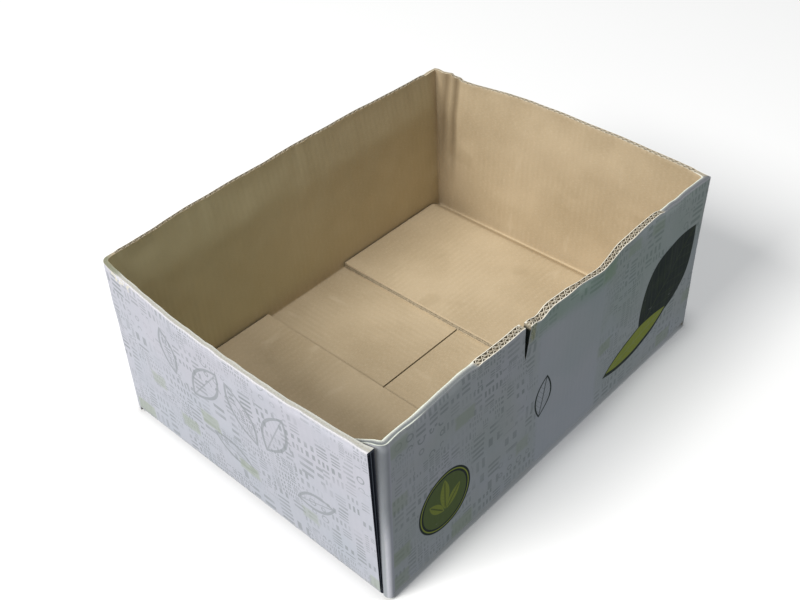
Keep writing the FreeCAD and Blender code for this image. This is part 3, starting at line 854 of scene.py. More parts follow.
@dataclass
class FoldedBox:
    """The box: board with its three liners, and the fluted paper that shows at the rim.

    liner and middle are shares of the board's thickness, and the rest is in millimetres. The
    raw end's channels reach the distance channel into the wall and are closed above closed.
    """

    blank: Blank
    liner: float = 0.1
    middle: float = 0.5
    channel: float = 4.0
    closed: float = 2.6
    paper: float = 0.5
    corner_stop: float = 22.0
    corner_zone: tuple[float, float] = (-10.0, 32.0)
    corner_step: float = 1.5
    rim_rows: tuple[float, ...] = (0.0, 0.5, 1.3, 2.6, 4.4, 6.5)
    row_step: float = 4.0
    wave_steps: int = 8
    row_lag: float = 0.37
    flute_top: float = 0.35
    flute_end: float = 0.3
    corner_row: float = 3.0
    bend: float = 14.0
    flat_row: float = 7.0

    def columns(self, k: int) -> list[float]:
        """Shares of a stretch at which its columns stand."""
        plan, s = self.blank.plan, self.blank.sizes
        stretch, start = plan.stretches[k], plan.starts[k]
        stops = {0.0, stretch.span}
        for begin, end in self.blank.open_runs():
            stops |= {edge - start for edge in (begin, end) if start < edge < start + stretch.span}
        if stretch.name == "raw_end":
            stops.add(self.channel)
        if stretch.name in ("far", "right"):
            from_start = stretch.name == "right"
            stops.add(self.corner_stop if from_start else stretch.span - self.corner_stop)
        if stretch.flap in ("near", "far"):
            if stretch.name != "near_before":
                stops.add(s.side_gap)
            if stretch.name != "near_beyond":
                stops.add(stretch.span - s.side_gap)
        marks, stops = [], sorted(stops)
        for begin, end in zip(stops, stops[1:]):
            past = start + (begin + end) / 2 - self.blank.far_corner
            by_corner = self.corner_zone[0] < past < self.corner_zone[1]
            marks += divide(begin, end, self.corner_step if by_corner else stretch.step)
        return [mark / stretch.span for mark in marks + stops[-1:]]

    def wall_rows(self) -> list[float]:
        """Drops of the rows on the walls, closer at the rim."""
        s, blank = self.blank.sizes, self.blank
        stops = [s.flute_depth, s.tear_depth, blank.tab_drop, blank.wall_drop]
        return list(self.rim_rows) + ladder(stops, self.row_step)

    def flap_rows(self, name: str) -> list[float]:
        """Drops of the rows on a flap, closer in its bends."""
        rows, walked = [self.blank.wall_drop], self.blank.wall_drop
        for length, degrees in self.blank.sections[name].pieces:
            steps = abs(degrees) / self.bend if degrees else length / self.flat_row
            count = max(2, round(steps))
            rows += [walked + length * (step + 1) / count for step in range(count)]
            walked += length
        return rows

    def cells(self, keep: Callable[[int, float, float], bool],
              parts: Sequence[str] = ("wall", "flap")) -> Iterable[tuple]:
        """Patches of the blank.

        Args:
            keep: says for a stretch, a run and a drop whether the patch there is wanted.
            parts: which of the wall rows and the rows below them to go through.

        Yields:
            Four nodes for each patch.
        """
        blank, s = self.blank, self.blank.sizes
        for k, stretch in enumerate(blank.plan.stretches):
            columns = self.columns(k)
            rows = self.wall_rows() if "wall" in parts else []
            if "flap" in parts and stretch.flap:
                rows = rows + self.flap_rows(stretch.flap)[1:]
            elif "flap" in parts and not stretch.name.startswith("tab"):
                stops = [blank.wall_drop, s.height - s.corner_lift]
                rows = rows + ladder(stops, self.corner_row)[1:]
            for left, right in zip(columns, columns[1:]):
                run = blank.plan.starts[k] + (left + right) / 2 * stretch.span
                for high, low in zip(rows, rows[1:]):
                    if keep(k, run, (high + low) / 2):
                        yield ((k, left, high), (k, right, high), (k, right, low), (k, left, low))

    def solid_here(self, k: int, run: float, drop: float) -> bool:
        """Whether the board is solid at a place, not parted into liners or cut away."""
        blank, s = self.blank, self.blank.sizes
        stretch = blank.plan.stretches[k]
        if stretch.name.startswith("tab") and drop > blank.tab_drop:
            return False
        if run < self.channel and self.closed < drop < blank.wall_drop:
            return False
        if drop < s.flute_depth and any(a < run < b for a, b in blank.open_runs()):
            return False
        if stretch.flap in ("near", "far") and drop > blank.wall_drop + s.fold * math.pi / 2:
            names = ("far",) if stretch.flap == "far" else ("near_beyond", "near_before")
            first, last = blank.plan.index(names[0]), blank.plan.index(names[-1])
            panel_end = blank.plan.starts[last] + blank.plan.stretches[last].span
            from_side = min(run - blank.plan.starts[first], panel_end - run)
            return from_side > s.side_gap
        return True

    def liners_here(self, k: int, run: float, drop: float) -> bool:
        """Whether the board is parted into liners at a place, with open flutes between."""
        blank = self.blank
        if drop > blank.wall_drop:
            return False
        at_rim = drop < blank.sizes.flute_depth
        if run < self.channel:
            return drop > self.closed
        return at_rim and any(a < run < b for a, b in blank.open_runs())

    def build_board(self, materials: Sequence[bpy.types.Material]) -> bpy.types.Object:
        """Board with all walls and flaps, and the bare liners along rim and raw end."""
        sheets = SheetMesh(self.blank)
        sheets.thicken(self.cells(self.solid_here))
        half = self.liner / 2
        for low, high in ((0.0, self.liner), (self.middle - half, self.middle + half),
                          (1 - self.liner, 1.0)):
            sheets.thicken(self.cells(self.liners_here, ("wall",)), low, high)
        return sheets.make("board", materials)

    def build_flutes(self, material: bpy.types.Material) -> bpy.types.Object:
        """Fluted paper between the liners along the open rim, waved by Geometry Nodes."""
        s = self.blank.sizes
        half = self.paper / s.board / 2
        step = s.flute_pitch / self.wave_steps
        ribbon = Ribbon(self.blank)
        for row, centre in enumerate(((self.liner + self.middle) / 2,
                                      (1 - self.liner + self.middle) / 2)):
            for begin, end in self.blank.open_runs():
                marks = ladder([begin + self.flute_end, end - self.flute_end], step)
                ribbon.add(marks, (self.flute_top, s.flute_depth), (centre - half, centre + half),
                           row * s.flute_pitch * self.row_lag)
        room = (self.middle - self.liner * 1.5) * s.board - self.paper
        return waved(ribbon.make("flutes"), wave_tree(),
                     {"Pitch": s.flute_pitch, "Height": room / 2 * METRES, "Paper": material})


def wave_tree() -> bpy.types.NodeTree:
    """Geometry Nodes tree that waves a ribbon through its board, with rounded flat crests."""
    tree = bpy.data.node_groups.new("flute_wave", "GeometryNodeTree")
    face = tree.interface
    face.new_socket("Ribbon", in_out="INPUT", socket_type="NodeSocketGeometry")
    face.new_socket("Pitch", in_out="INPUT", socket_type="NodeSocketFloat")
    face.new_socket("Height", in_out="INPUT", socket_type="NodeSocketFloat")
    face.new_socket("Paper", in_out="INPUT", socket_type="NodeSocketMaterial")
    face.new_socket("Flutes", in_out="OUTPUT", socket_type="NodeSocketGeometry")

    def node(kind: str, **settings: object) -> bpy.types.Node:
        """New node with its settings."""
        made = tree.nodes.new(kind)
        for name, value in settings.items():
            setattr(made, name, value)
        return made

    def math_node(operation: str, a: object, b: object = None) -> bpy.types.NodeSocket:
        """Math node on sockets or numbers."""
        made = node("ShaderNodeMath", operation=operation)
        for slot, value in zip(made.inputs, (a, b)):
            if isinstance(value, bpy.types.NodeSocket):
                tree.links.new(value, slot)
            elif value is not None:
                slot.default_value = value
        return made.outputs[0]

    entry, leave = node("NodeGroupInput"), node("NodeGroupOutput")
    run = node("GeometryNodeInputNamedAttribute", data_type="FLOAT")
    run.inputs["Name"].default_value = "run"
    inward = node("GeometryNodeInputNamedAttribute", data_type="FLOAT_VECTOR")
    inward.inputs["Name"].default_value = "inward"
    turns = math_node("DIVIDE", run.outputs["Attribute"], entry.outputs["Pitch"])
    sine = math_node("SINE", math_node("MULTIPLY", turns, math.tau))
    wave = math_node("MINIMUM", math_node("MAXIMUM", math_node("MULTIPLY", sine, CREST), -1.0), 1.0)
    way = node("ShaderNodeVectorMath", operation="SCALE")
    tree.links.new(inward.outputs["Attribute"], way.inputs[0])
    tree.links.new(math_node("MULTIPLY", wave, entry.outputs["Height"]), way.inputs["Scale"])
    shift, real = node("GeometryNodeSetPosition"), node("GeometryNodeRealizeInstances")
    paint = node("GeometryNodeSetMaterial")
    tree.links.new(entry.outputs["Ribbon"], shift.inputs["Geometry"])
    tree.links.new(way.outputs[0], shift.inputs["Offset"])
    tree.links.new(shift.outputs[0], real.inputs[0])
    tree.links.new(real.outputs[0], paint.inputs["Geometry"])
    tree.links.new(entry.outputs["Paper"], paint.inputs["Material"])
    tree.links.new(paint.outputs[0], leave.inputs[0])
    return tree


def waved(base: bpy.types.Object, tree: bpy.types.NodeTree,
          values: dict[str, object]) -> bpy.types.Object:
    """Run a Geometry Nodes tree on an object and keep the result as its plain mesh.

    Args:
        base: object with the input mesh.
        tree: the tree to run.
        values: the tree's inputs by name.

    Returns:
        The same object with its new mesh and no modifier.
    """
    modifier = base.modifiers.new(tree.name, "NODES")
    modifier.node_group = tree
    for item in tree.interface.items_tree:
        if item.item_type == "SOCKET" and item.in_out == "INPUT" and item.name in values:
            modifier[item.identifier] = values[item.name]
    bpy.context.view_layer.update()
    graph = bpy.context.evaluated_depsgraph_get()
    result = bpy.data.meshes.new_from_object(base.evaluated_get(graph), depsgraph=graph)
    base.modifiers.remove(modifier)
    base.data = result
    return base


Number = "Signal | float"


@dataclass(frozen=True)
class Signal:
    """Socket of a shader tree that can be reckoned with like a number."""

    graph: "Graph"
    socket: bpy.types.NodeSocket

    def __add__(self, other: Number) -> "Signal":
        """Sum."""
        return self.graph.math("ADD", self, other)

    def __sub__(self, other: Number) -> "Signal":
        """Difference."""
        return self.graph.math("SUBTRACT", self, other)

    def __rsub__(self, other: Number) -> "Signal":
        """Difference from a number."""
        return self.graph.math("SUBTRACT", other, self)

    def __mul__(self, other: Number) -> "Signal":
        """Product."""
        return self.graph.math("MULTIPLY", self, other)

    def __truediv__(self, other: Number) -> "Signal":
        """Quotient."""
        return self.graph.math("DIVIDE", self, other)

    def __abs__(self) -> "Signal":
        """Size without the sign."""
        return self.graph.math("ABSOLUTE", self)

    def __lt__(self, other: Number) -> "Signal":
        """1 where smaller, else 0."""
        return self.graph.math("LESS_THAN", self, other)

    def __gt__(self, other: Number) -> "Signal":
        """1 where greater, else 0."""
        return self.graph.math("GREATER_THAN", self, other)

    __radd__ = __add__
    __rmul__ = __mul__

    def floor(self) -> "Signal":
        """Whole part."""
        return self.graph.math("FLOOR", self)

    def fraction(self) -> "Signal":
        """Part after the point."""
        return self.graph.math("FRACT", self)

    def sine(self) -> "Signal":
        """Sine of an angle in radians."""
        return self.graph.math("SINE", self)

    def at_most(self, other: Number) -> "Signal":
        """Smaller of two."""
        return self.graph.math("MINIMUM", self, other)

    def at_least(self, other: Number) -> "Signal":
        """Greater of two."""
        return self.graph.math("MAXIMUM", self, other)

    def step(self, low: float, high: float) -> "Signal":
        """Rise from 0 to 1 with level ends between low and high, or fall if high is lower."""
        return self.graph.node("ShaderNodeMapRange", {"interpolation_type": "SMOOTHSTEP"},
                               {"Value": self, "From Min": low, "From Max": high}).result()

    def band(self, low: float, high: float, soft: float = 0.5) -> "Signal":
        """1 between two places, with soft ends."""
        return self.step(low - soft, low + soft) * self.step(high + soft, high - soft)


def distance(x: Signal, y: Signal) -> Signal:
    """Distance of a place from the middle of two axes."""
    return x.graph.math("SQRT", x * x + y * y)


def strongest(signals: Iterable[Signal]) -> Signal:
    """Greatest of several signals."""
    return reduce(Signal.at_least, signals)


@dataclass(frozen=True)
class NodeHandle:
    """Node of a shader tree, whose outputs are taken as signals."""

    graph: "Graph"
    node: bpy.types.Node

    def result(self, name: str | int = 0) -> Signal:
        """Output by name or number."""
        return Signal(self.graph, self.node.outputs[name])


Colour = tuple[float, float, float]


class Tone(Enum):
    """Colours of papers and inks, and of painted shade and highlights, as linear red, green and blue.
    """

    WHITE = (0.62, 0.62, 0.69)
    COOL = (0.48, 0.545, 0.61)
    GREY_INK = (0.33, 0.355, 0.375)
    PALE_GREEN = (0.40, 0.46, 0.34)
    DARK_GREEN = (0.008, 0.022, 0.017)
    YELLOW_GREEN = (0.36, 0.42, 0.05)
    OLIVE = (0.12, 0.17, 0.04)
    KRAFT = (0.48, 0.385, 0.255)
    KRAFT_DARK = (0.335, 0.258, 0.155)
    KRAFT_LIGHT = (0.60, 0.505, 0.365)
    KRAFT_SHADE = (0.17, 0.125, 0.07)
    CREAM = (0.76, 0.72, 0.62)
    CUT = (0.42, 0.37, 0.28)
    EDGE = (0.80, 0.80, 0.87)
    LINE = (0.72, 0.76, 0.67)
    ROLLED = (0.145, 0.165, 0.18)
    PALE = (0.52, 0.545, 0.53)
    STONE = (0.46, 0.47, 0.45)
    OLIVE_KRAFT = (0.66, 0.64, 0.38)
    MOSS = (0.20, 0.215, 0.15)
    DEEP = (0.10, 0.078, 0.05)
    SLIT = (0.016, 0.022, 0.019)
    GREEN_CAST = (0.12, 0.40, 0.16)
    SHADE = (0.085, 0.095, 0.125)
    FLOOR = (0.86, 0.86, 0.87)
    FLOOR_LIGHT = (0.90, 0.90, 0.90)


class Graph:
    """Shader tree of one material."""

    def __init__(self, name: str) -> None:
        """Start an empty material.

        Args:
            name: name of the material.
        """
        self.material = bpy.data.materials.new(name)
        self.material.use_nodes = True
        self.tree = self.material.node_tree
        self.tree.nodes.clear()

    def node(self, kind: str, settings: dict[str, object] | None = None,
             values: dict[str | int, object] | None = None) -> NodeHandle:
        """Add a node.

        Args:
            kind: type of the node.
            settings: its properties.
            values: its inputs by name or number, each a signal, a tone or a plain value.

        Returns:
            A handle on the node.
        """
        made = self.tree.nodes.new(kind)
        for name, value in (settings or {}).items():
            setattr(made, name, value)
        for name, value in (values or {}).items():
            slot = made.inputs[name]
            if isinstance(value, Signal):
                self.tree.links.new(value.socket, slot)
            elif isinstance(value, Tone):
                slot.default_value = (*value.value, 1.0)
            else:
                slot.default_value = value
        return NodeHandle(self, made)

    def math(self, operation: str, *terms: Number) -> Signal:
        """Result of a Math node."""
        return self.node("ShaderNodeMath", {"operation": operation}, dict(enumerate(terms))).result()

    def vector(self, x: Number, y: Number, z: Number = 0.0) -> Signal:
        """Vector of three numbers."""
        return self.node("ShaderNodeCombineXYZ", None, {0: x, 1: y, 2: z}).result()

    def parts(self, signal: Signal) -> tuple[Signal, Signal, Signal]:
        """Three numbers of a vector or colour."""
        split = self.node("ShaderNodeSeparateXYZ", None, {0: signal})
        return split.result(0), split.result(1), split.result(2)

    def blend(self, share: Number, low: Signal | Tone, high: Signal | Tone) -> Signal:
        """Colour that goes from low to high with the share."""
        mixer = self.node("ShaderNodeMix", {"data_type": "RGBA"},
                          {"Factor": share, 6: low, 7: high})
        return mixer.result(2)

    def noise(self, place: Signal, scale: float, detail: float = 2.0) -> Signal:
        """Noise from 0 to 1, in bumps of about 1/scale."""
        return self.node("ShaderNodeTexNoise", None,
                         {"Vector": place, "Scale": scale, "Detail": detail}).result()

    def chance(self, x: Signal, y: Signal, key: float) -> tuple[Signal, Signal, Signal]:
        """Three random numbers from 0 to 1 for each pair of whole numbers."""
        hashed = self.node("ShaderNodeTexWhiteNoise", {"noise_dimensions": "3D"},
                           {"Vector": self.vector(x, y, key)})
        return self.parts(hashed.result("Color"))

    def paint(self, colour: Signal, roughness: Number, height: Signal,
              shine: float) -> bpy.types.Material:
        """Finish the material.

        Args:
            colour: base colour.
            roughness: roughness.
            height: relief in millimetres.
            shine: strength of the highlights.

        Returns:
            The material.
        """
        bump = self.node("ShaderNodeBump", None, {"Distance": METRES, "Height": height})
        shader = self.node("ShaderNodeBsdfPrincipled", None,
                           {"Base Color": colour, "Roughness": roughness,
                            "Normal": bump.result(), "Specular IOR Level": shine})
        self.node("ShaderNodeOutputMaterial", None, {"Surface": shader.result()})
        return self.material


class SheetGraph(Graph):
    """Shader tree of a paper, with the place on the flat printed sheet in millimetres."""

    def __init__(self, name: str) -> None:
        """Start an empty material and find the place across and up the sheet.

        Args:
            name: name of the material.
        """
        super().__init__(name)
        spot = self.node("ShaderNodeUVMap", {"uv_map": "sheet"}).result()
        across, up, _ = self.parts(spot)
        self.across, self.up = across / METRES, up / METRES
        self.place = self.vector(self.across, self.up)

    def squeezed(self, wide: float, tall: float, shift: float = 0.0) -> Signal:
        """Place with its two ways scaled, for marks that are longer one way."""
        return self.vector((self.across + shift) * wide, self.up * tall)


@dataclass
class Coat:
    """Colour of a paper, laid on in layers."""

    graph: Graph
    colour: Signal | Tone

    def lay(self, share: Number, colour: Signal | Tone) -> None:
        """Cover a share of the colour so far with another."""
        self.colour = self.graph.blend(share, self.colour, colour)


@dataclass(frozen=True)
class Marks:
    """Random marks in one tone: their size, how sharp and strong they are, and their stretch.

    A mark shows where the noise is between the two limits or beyond the second.
    """

    tone: Tone
    scale: float
    detail: float
    limits: tuple[float, float]
    strength: float
    stretch: tuple[float, float] = (1.0, 1.0)
    shift: float = 0.0

    def noise(self, graph: SheetGraph) -> Signal:
        """Noise behind the marks."""
        return graph.noise(graph.squeezed(*self.stretch, self.shift), self.scale, self.detail)

    def lay(self, coat: Coat) -> None:
        """Lay the marks on a coat."""
        coat.lay(self.noise(coat.graph).step(*self.limits) * self.strength, self.tone)


@dataclass(frozen=True)
class PaperRelief:
    """Relief and faint stripes that all papers of the board share, in millimetres."""

    pitch: float
    washboard: float = 0.035
    fibre: float = 0.012
    dent: float = 0.5

    def stripe(self, across: Signal) -> Signal:
        """Crests of the flutes, from -1 to 1."""
        return (across * (math.tau / self.pitch)).sine()

    def height(self, graph: SheetGraph) -> Signal:
        """Relief: the flutes' stripes, fibres and soft dents."""
        stripes = self.stripe(graph.across) * self.washboard
        fibres = graph.noise(graph.squeezed(1.0, 4.0), 0.9, 3.0) * self.fibre
        return stripes + fibres + graph.noise(graph.place, 0.045) * self.dent


@dataclass(frozen=True)
class Leaf:
    """Plain leaf of the print: a pointed oval with a midrib and slanted side veins."""

    across: float
    up: float
    length: float
    width: float
    degrees: float
    pairs: int = 9
    slant: float = 0.8

    def local(self, across: Signal, up: Signal) -> tuple[Signal, Signal]:
        """Place along the leaf's midrib and across it, in millimetres from its middle."""
        cos, sin = math.cos(math.radians(self.degrees)), math.sin(math.radians(self.degrees))
        x, y = across - self.across, up - self.up
        return x * cos + y * sin, y * cos - x * sin

    def inside(self, across: Signal, up: Signal) -> Signal:
        """Millimetres inside the leaf's edge, below 0 outside."""
        along, off = self.local(across, up)
        share = along / (self.length / 2)
        return (1 - share * share) * (self.width / 2) - abs(off)

    def body(self, across: Signal, up: Signal) -> Signal:
        """1 inside the leaf and 0 outside."""
        return self.inside(across, up).step(-0.3, 0.3)

    def veins(self, across: Signal, up: Signal) -> Signal:
        """1 on the midrib, less on the side veins and 0 elsewhere."""
        along, off = self.local(across, up)
        rib = abs(off).step(0.9, 0.3)
        slanted = ((along - abs(off) * self.slant) / (self.length / self.pairs)).fraction()
        side = abs(slanted - 0.5).step(0.07, 0.02)
        return rib.at_least(side * 0.6) * self.inside(across, up).step(0.8, 1.6)

    def outline(self, across: Signal, up: Signal, inset: float, wide: float) -> Signal:
        """1 on a line that follows the edge at an inset, and a little less on the veins."""
        line = abs(self.inside(across, up) - inset).step(wide, wide - 0.6)
        return line.at_least(self.veins(across, up) * 0.8)


@dataclass(frozen=True)
class Tiles:
    """Tiles of the all-over print, as random fields of their own."""

    size: tuple[float, float]
    key: float
    shift: tuple[float, float] = (0.0, 0.0)

    def split(self, graph: SheetGraph) -> tuple[Signal, ...]:
        """Place in the tile, both ways from 0 to 1, and the tile's three random numbers."""
        x = (graph.across + self.shift[0]) / self.size[0]
        y = (graph.up + self.shift[1]) / self.size[1]
        return x.fraction(), y.fraction(), *graph.chance(x.floor(), y.floor(), self.key)

    def bars(self, graph: SheetGraph) -> Signal:
        """A few short bars in each tile, upright in one half of them and level in the other."""
        fx, fy, one, two, three = self.split(graph)
        upright = one > 0.5
        along, over = fx + (fy - fx) * upright, fy + (fx - fy) * upright
        count = (two * 2 + 2).floor()
        stripe = abs((over * count).fraction() - 0.5).step(0.27, 0.21)
        held = (along > 0.06 + three * 0.2) * (along < 0.94 - one * 0.25)
        return stripe * held * (two < 0.86)

    def rings(self, graph: SheetGraph) -> Signal:
        """A ring or a dot in each tile."""
        fx, fy, one, two, _ = self.split(graph)
        ring = abs(distance(fx - 0.5, fy - 0.5) - (0.16 + one * 0.14)).step(0.07, 0.04)
        return ring * (two < 0.8)

    def patches(self, graph: SheetGraph) -> Signal:
        """A ragged rounded patch in a few of the tiles."""
        fx, fy, one, two, three = self.split(graph)
        wide = (0.22 + two * 0.14) - abs(fx - 0.5 + (one - 0.5) * 0.2)
        tall = (0.18 + one * 0.12) - abs(fy - 0.5)
        ragged = (graph.noise(graph.place, 0.25, 3.0) - 0.5) * 3.2
        soft = (wide.at_most(tall) * 30.0 + ragged).step(-1.4, 1.8)
        return soft * (three < 0.22) * (0.55 + two * 0.45)


FIELDS = Tiles((31.0, 23.0), 3.0)
SMALL_BARS = Tiles((6.5, 5.2), 5.0)
MIDDLE_BARS = Tiles((12.0, 9.6), 7.0, (3.0, 2.0))
BOLD_BARS = Tiles((19.0, 15.2), 17.0, (5.0, 9.0))
RINGS = Tiles((11.0, 11.0), 9.0)
PATCHES = Tiles((34.0, 27.0), 13.0)
SCUFFS = Marks(Tone.WHITE, 0.3, 4.0, (0.66, 0.76), 0.3, (0.35, 1.6))
LEFT_LEAVES = (Leaf(-92, 112, 60, 26, 62), Leaf(-128, 108, 58, 25, 115),
               Leaf(-168, 112, 62, 27, 50), Leaf(-60, 62, 44, 20, 20),
               Leaf(-212, 118, 46, 20, 100), Leaf(-150, 50, 50, 22, 160))
NEAR_LEAVES = ((Leaf(349, 82, 104, 64, 44), Tone.DARK_GREEN, Tone.OLIVE),
               (Leaf(308, 40, 96, 25, 12), Tone.DARK_GREEN, Tone.OLIVE),
               (Leaf(309, 41.5, 88, 20, 12), Tone.YELLOW_GREEN, Tone.PALE_GREEN))
BADGE_LEAVES = (Leaf(63, 62, 30, 10, 90), Leaf(54, 54, 22, 8, 135), Leaf(72, 54, 22, 8, 45))
SMALL_LEAF = Leaf(176, 74, 40, 20, 78)


@dataclass(frozen=True)
class PrintedPaper:
    """Outer liner: coated white paper with a grey all-over print and a few green pictures.

    Spans and places are in millimetres on the sheet. A pair of limits runs from where a layer
    starts to show to where it shows in full.
    """

    relief: PaperRelief
    near_span: tuple[float, float]
    left_span: tuple[float, float]
    folds: tuple[float, ...]
    height: float
    bare: tuple[float, float] = (168.0, 250.0)
    bare_top: tuple[float, float] = (146.0, 138.0)
    badge: tuple[float, float] = (63.0, 56.0)
    torn: tuple[float, float] = (264.0, 160.0)
    torn_size: tuple[float, float] = (21.0, 8.0)
    tint: float = 0.28
    print_ink: float = 0.85
    leaf_ink: float = 0.7
    patch_ink: float = 0.6

    def make(self) -> bpy.types.Material:
        """Make the material."""
        graph = SheetGraph("printed_paper")
        across, up = graph.across, graph.up
        on_near, on_left = across.band(*self.near_span), across.band(*self.left_span)
        from_end = across - self.left_span[1]
        bare = 1 - across.band(*self.bare, soft=4.0) * on_near * up.step(*self.bare_top)
        printed = (on_near + on_left) * bare
        tinted = graph.noise(graph.place, 0.018, 3.0).step(0.25, 0.65)
        leaves = strongest(leaf.outline(from_end, up, 1.6, 1.7) for leaf in LEFT_LEAVES)
        coat = Coat(graph, self._paper(graph))
        coat.lay(tinted * on_near * bare * self.tint, Tone.PALE_GREEN)
        coat.lay(self._pattern(graph) * printed * self.print_ink, Tone.GREY_INK)
        coat.lay(leaves * on_left * self.leaf_ink, Tone.GREY_INK)
        coat.lay(PATCHES.patches(graph) * printed * self.patch_ink, Tone.PALE_GREEN)
        # Painted shade, tinted green, darkens the near wall.
        coat.lay(self._cast(graph) * on_near, Tone.GREEN_CAST)
        self._pictures(coat, on_near)
        worn = self._wear_and_painted_light(coat)
        worn = worn.at_least(self._torn(coat, from_end))
        roughness = 0.5 + worn * 0.3 + graph.noise(graph.place, 0.2) * 0.12
        height = self.relief.height(graph) - worn * 0.05
        return graph.paint(coat.colour, roughness, height, shine=0.35)

    def _paper(self, graph: SheetGraph) -> Signal:
        """White coated paper with soft grey clouds, cooler towards the base."""
        clouds = graph.noise(graph.place, 0.02, 3.0)
        speck = graph.noise(graph.place, 1.4)
        cool = (clouds - 0.5) * 0.9 + (1 - graph.up / self.height) * 0.35
        base = graph.blend(cool.at_least(0.0).at_most(1.0), Tone.WHITE, Tone.COOL)
        dim = (self.relief.stripe(graph.across) * 0.03 + (speck - 0.5) * 0.22).at_least(0.0)
        return graph.blend(dim, base, Tone.GREY_INK)

    def _pattern(self, graph: SheetGraph) -> Signal:
        """All-over print of small bars and rings in fields of different scale."""
        _, _, pick, strong, _ = FIELDS.split(graph)
        small, middle, bold = 0.3, 0.64, 0.86
        field = SMALL_BARS.bars(graph) * (pick < small)
        field = field + MIDDLE_BARS.bars(graph) * (pick > small) * (pick < middle)
        field = field + BOLD_BARS.bars(graph) * (pick > middle) * (pick < bold)
        field = field + RINGS.rings(graph) * (pick > bold)
        faded = graph.noise(graph.place, 0.03).step(0.25, 0.6)
        return field * faded * (0.7 + strong * 0.3)

    def _cast(self, graph: SheetGraph) -> Signal:
        """Painted shade, tinted green, over the near wall, stronger under the rim and towards the
        right.
        """
        under_rim = graph.across.band(160.0, 262.0, soft=8.0) * graph.up.step(132.0, 150.0)
        right_part = graph.across.step(140.0, 240.0) * graph.up.step(30.0, 120.0)
        return under_rim * 0.2 + right_part * 0.12 + 0.05

    def _pictures(self, coat: Coat, on_near: Signal) -> None:
        """Green pictures of the near wall: two large leaves, a round badge and a small leaf."""
        graph = coat.graph
        spot = graph.across, graph.up
        mottled = graph.noise(graph.place, 0.05).step(0.45, 0.75)
        for leaf, tone, vein in NEAR_LEAVES:
            ink = Coat(graph, tone)
            ink.lay(leaf.veins(*spot) * 0.3, vein)
            ink.lay(mottled * 0.12, Tone.OLIVE)
            coat.lay(leaf.body(*spot) * on_near, ink.colour)
        away = distance(graph.across - self.badge[0], graph.up - self.badge[1])
        ink = Coat(graph, Tone.DARK_GREEN)
        ink.lay(away.step(23.8, 23.2), Tone.OLIVE)
        ink.lay(abs(away - 25.8).step(0.7, 0.3), Tone.YELLOW_GREEN)
        for leaf in BADGE_LEAVES:
            ink.lay(leaf.body(*spot) * 0.75, Tone.YELLOW_GREEN)
            ink.lay(leaf.veins(*spot) * 0.6, Tone.DARK_GREEN)
        coat.lay(away.step(28.3, 27.7) * on_near, ink.colour)
        coat.lay(SMALL_LEAF.outline(*spot, 0.8, 1.2) * on_near, Tone.DARK_GREEN)

    def _wear_and_painted_light(self, coat: Coat) -> Signal:
        """Rubbed folds and rim, a painted highlight just under the rim, painted shade and a painted
        highlight on the joint's fold, tatters by the tear and scuffs.

        Args:
            coat: colour that the wear is laid on.

        Returns:
            How worn the paper is, from 0 to 1.
        """
        graph = coat.graph
        across, up = graph.across, graph.up
        rough = graph.noise(graph.place, 0.35, 4.0)
        near_fold = strongest([abs(across - fold).step(7.0, 1.0) for fold in self.folds])
        below_rim = up - self.height
        at_base = (up - 8.0).step(6.0, 0.0) * 0.8
        edges = near_fold.at_least(below_rim.step(-5.0, 0.0)).at_least(at_base)
        worn = (edges * 0.5 + rough * 0.9).step(0.82, 1.05)
        coat.lay(worn * 0.35, Tone.CREAM)
        creased = near_fold * graph.noise(graph.squeezed(1.0, 0.2), 0.3, 3.0)
        coat.lay(creased.step(0.3, 0.6) * 0.3, Tone.COOL)
        # Painted highlight: a bright line along the top of the outer face, just under the rim.
        coat.lay(below_rim.step(-1.6, -0.4) * 0.6, Tone.EDGE)
        # Painted shade on the joint's fold: its upper part, and the strip next to the crevice by the
        # left wall's cut end.
        folded = across.step(9.0, 6.0) * up.step(45.0, 95.0) * 0.75
        coat.lay(folded.at_least(across.step(3.0, 0.5) * 0.75), Tone.GREY_INK)
        # Painted highlight along the apex of the joint's fold, stronger low down.
        joint_highlight = abs(across - 4.5).step(3.2, 1.2) * up.step(100.0, 45.0)
        coat.lay(joint_highlight * 0.85, Tone.EDGE)
        tattered = across.band(154.0, 161.0, soft=1.5) * up.step(140.0, 145.0)
        straw = graph.noise(graph.place, 0.7, 3.0).step(0.4, 0.6)
        straw = graph.blend(straw, Tone.OLIVE, Tone.OLIVE_KRAFT)
        coat.lay(tattered * rough.step(0.3, 0.5) * 0.75, straw)
        SCUFFS.lay(coat)
        return worn

    def _torn(self, coat: Coat, from_end: Signal) -> Signal:
        """Patch by the left wall's far corner where the printed face is torn off."""
        graph = coat.graph
        x = (from_end + self.torn[0]) / self.torn_size[0]
        y = (graph.up - self.torn[1]) / self.torn_size[1]
        ragged = (graph.noise(graph.place, 0.3, 5.0) - 0.5) * 2.6
        torn = (distance(x, y) + ragged).step(0.75, 0.6)
        fibres = graph.noise(graph.place, 0.3, 3.0).step(0.45, 0.55)
        coat.lay(torn * 0.9, graph.blend(fibres, Tone.CREAM, Tone.EDGE))
        return torn


KRAFT_FIBRES = Marks(Tone.KRAFT_LIGHT, 0.8, 4.0, (0.42, 0.75), 0.4, (0.4, 2.2))
KRAFT_GRAIN = (Marks(Tone.KRAFT_DARK, 0.013, 4.0, (0.3, 0.7), 0.55), KRAFT_FIBRES,
               Marks(Tone.DEEP, 1.9, 2.0, (0.66, 0.74), 0.35))
KRAFT_RUBS = (Marks(Tone.KRAFT_LIGHT, 0.12, 4.0, (0.62, 0.78), 0.3, (0.5, 0.16)),
              Marks(Tone.KRAFT_DARK, 0.018, 3.0, (0.62, 0.72), 0.3, shift=40.0))


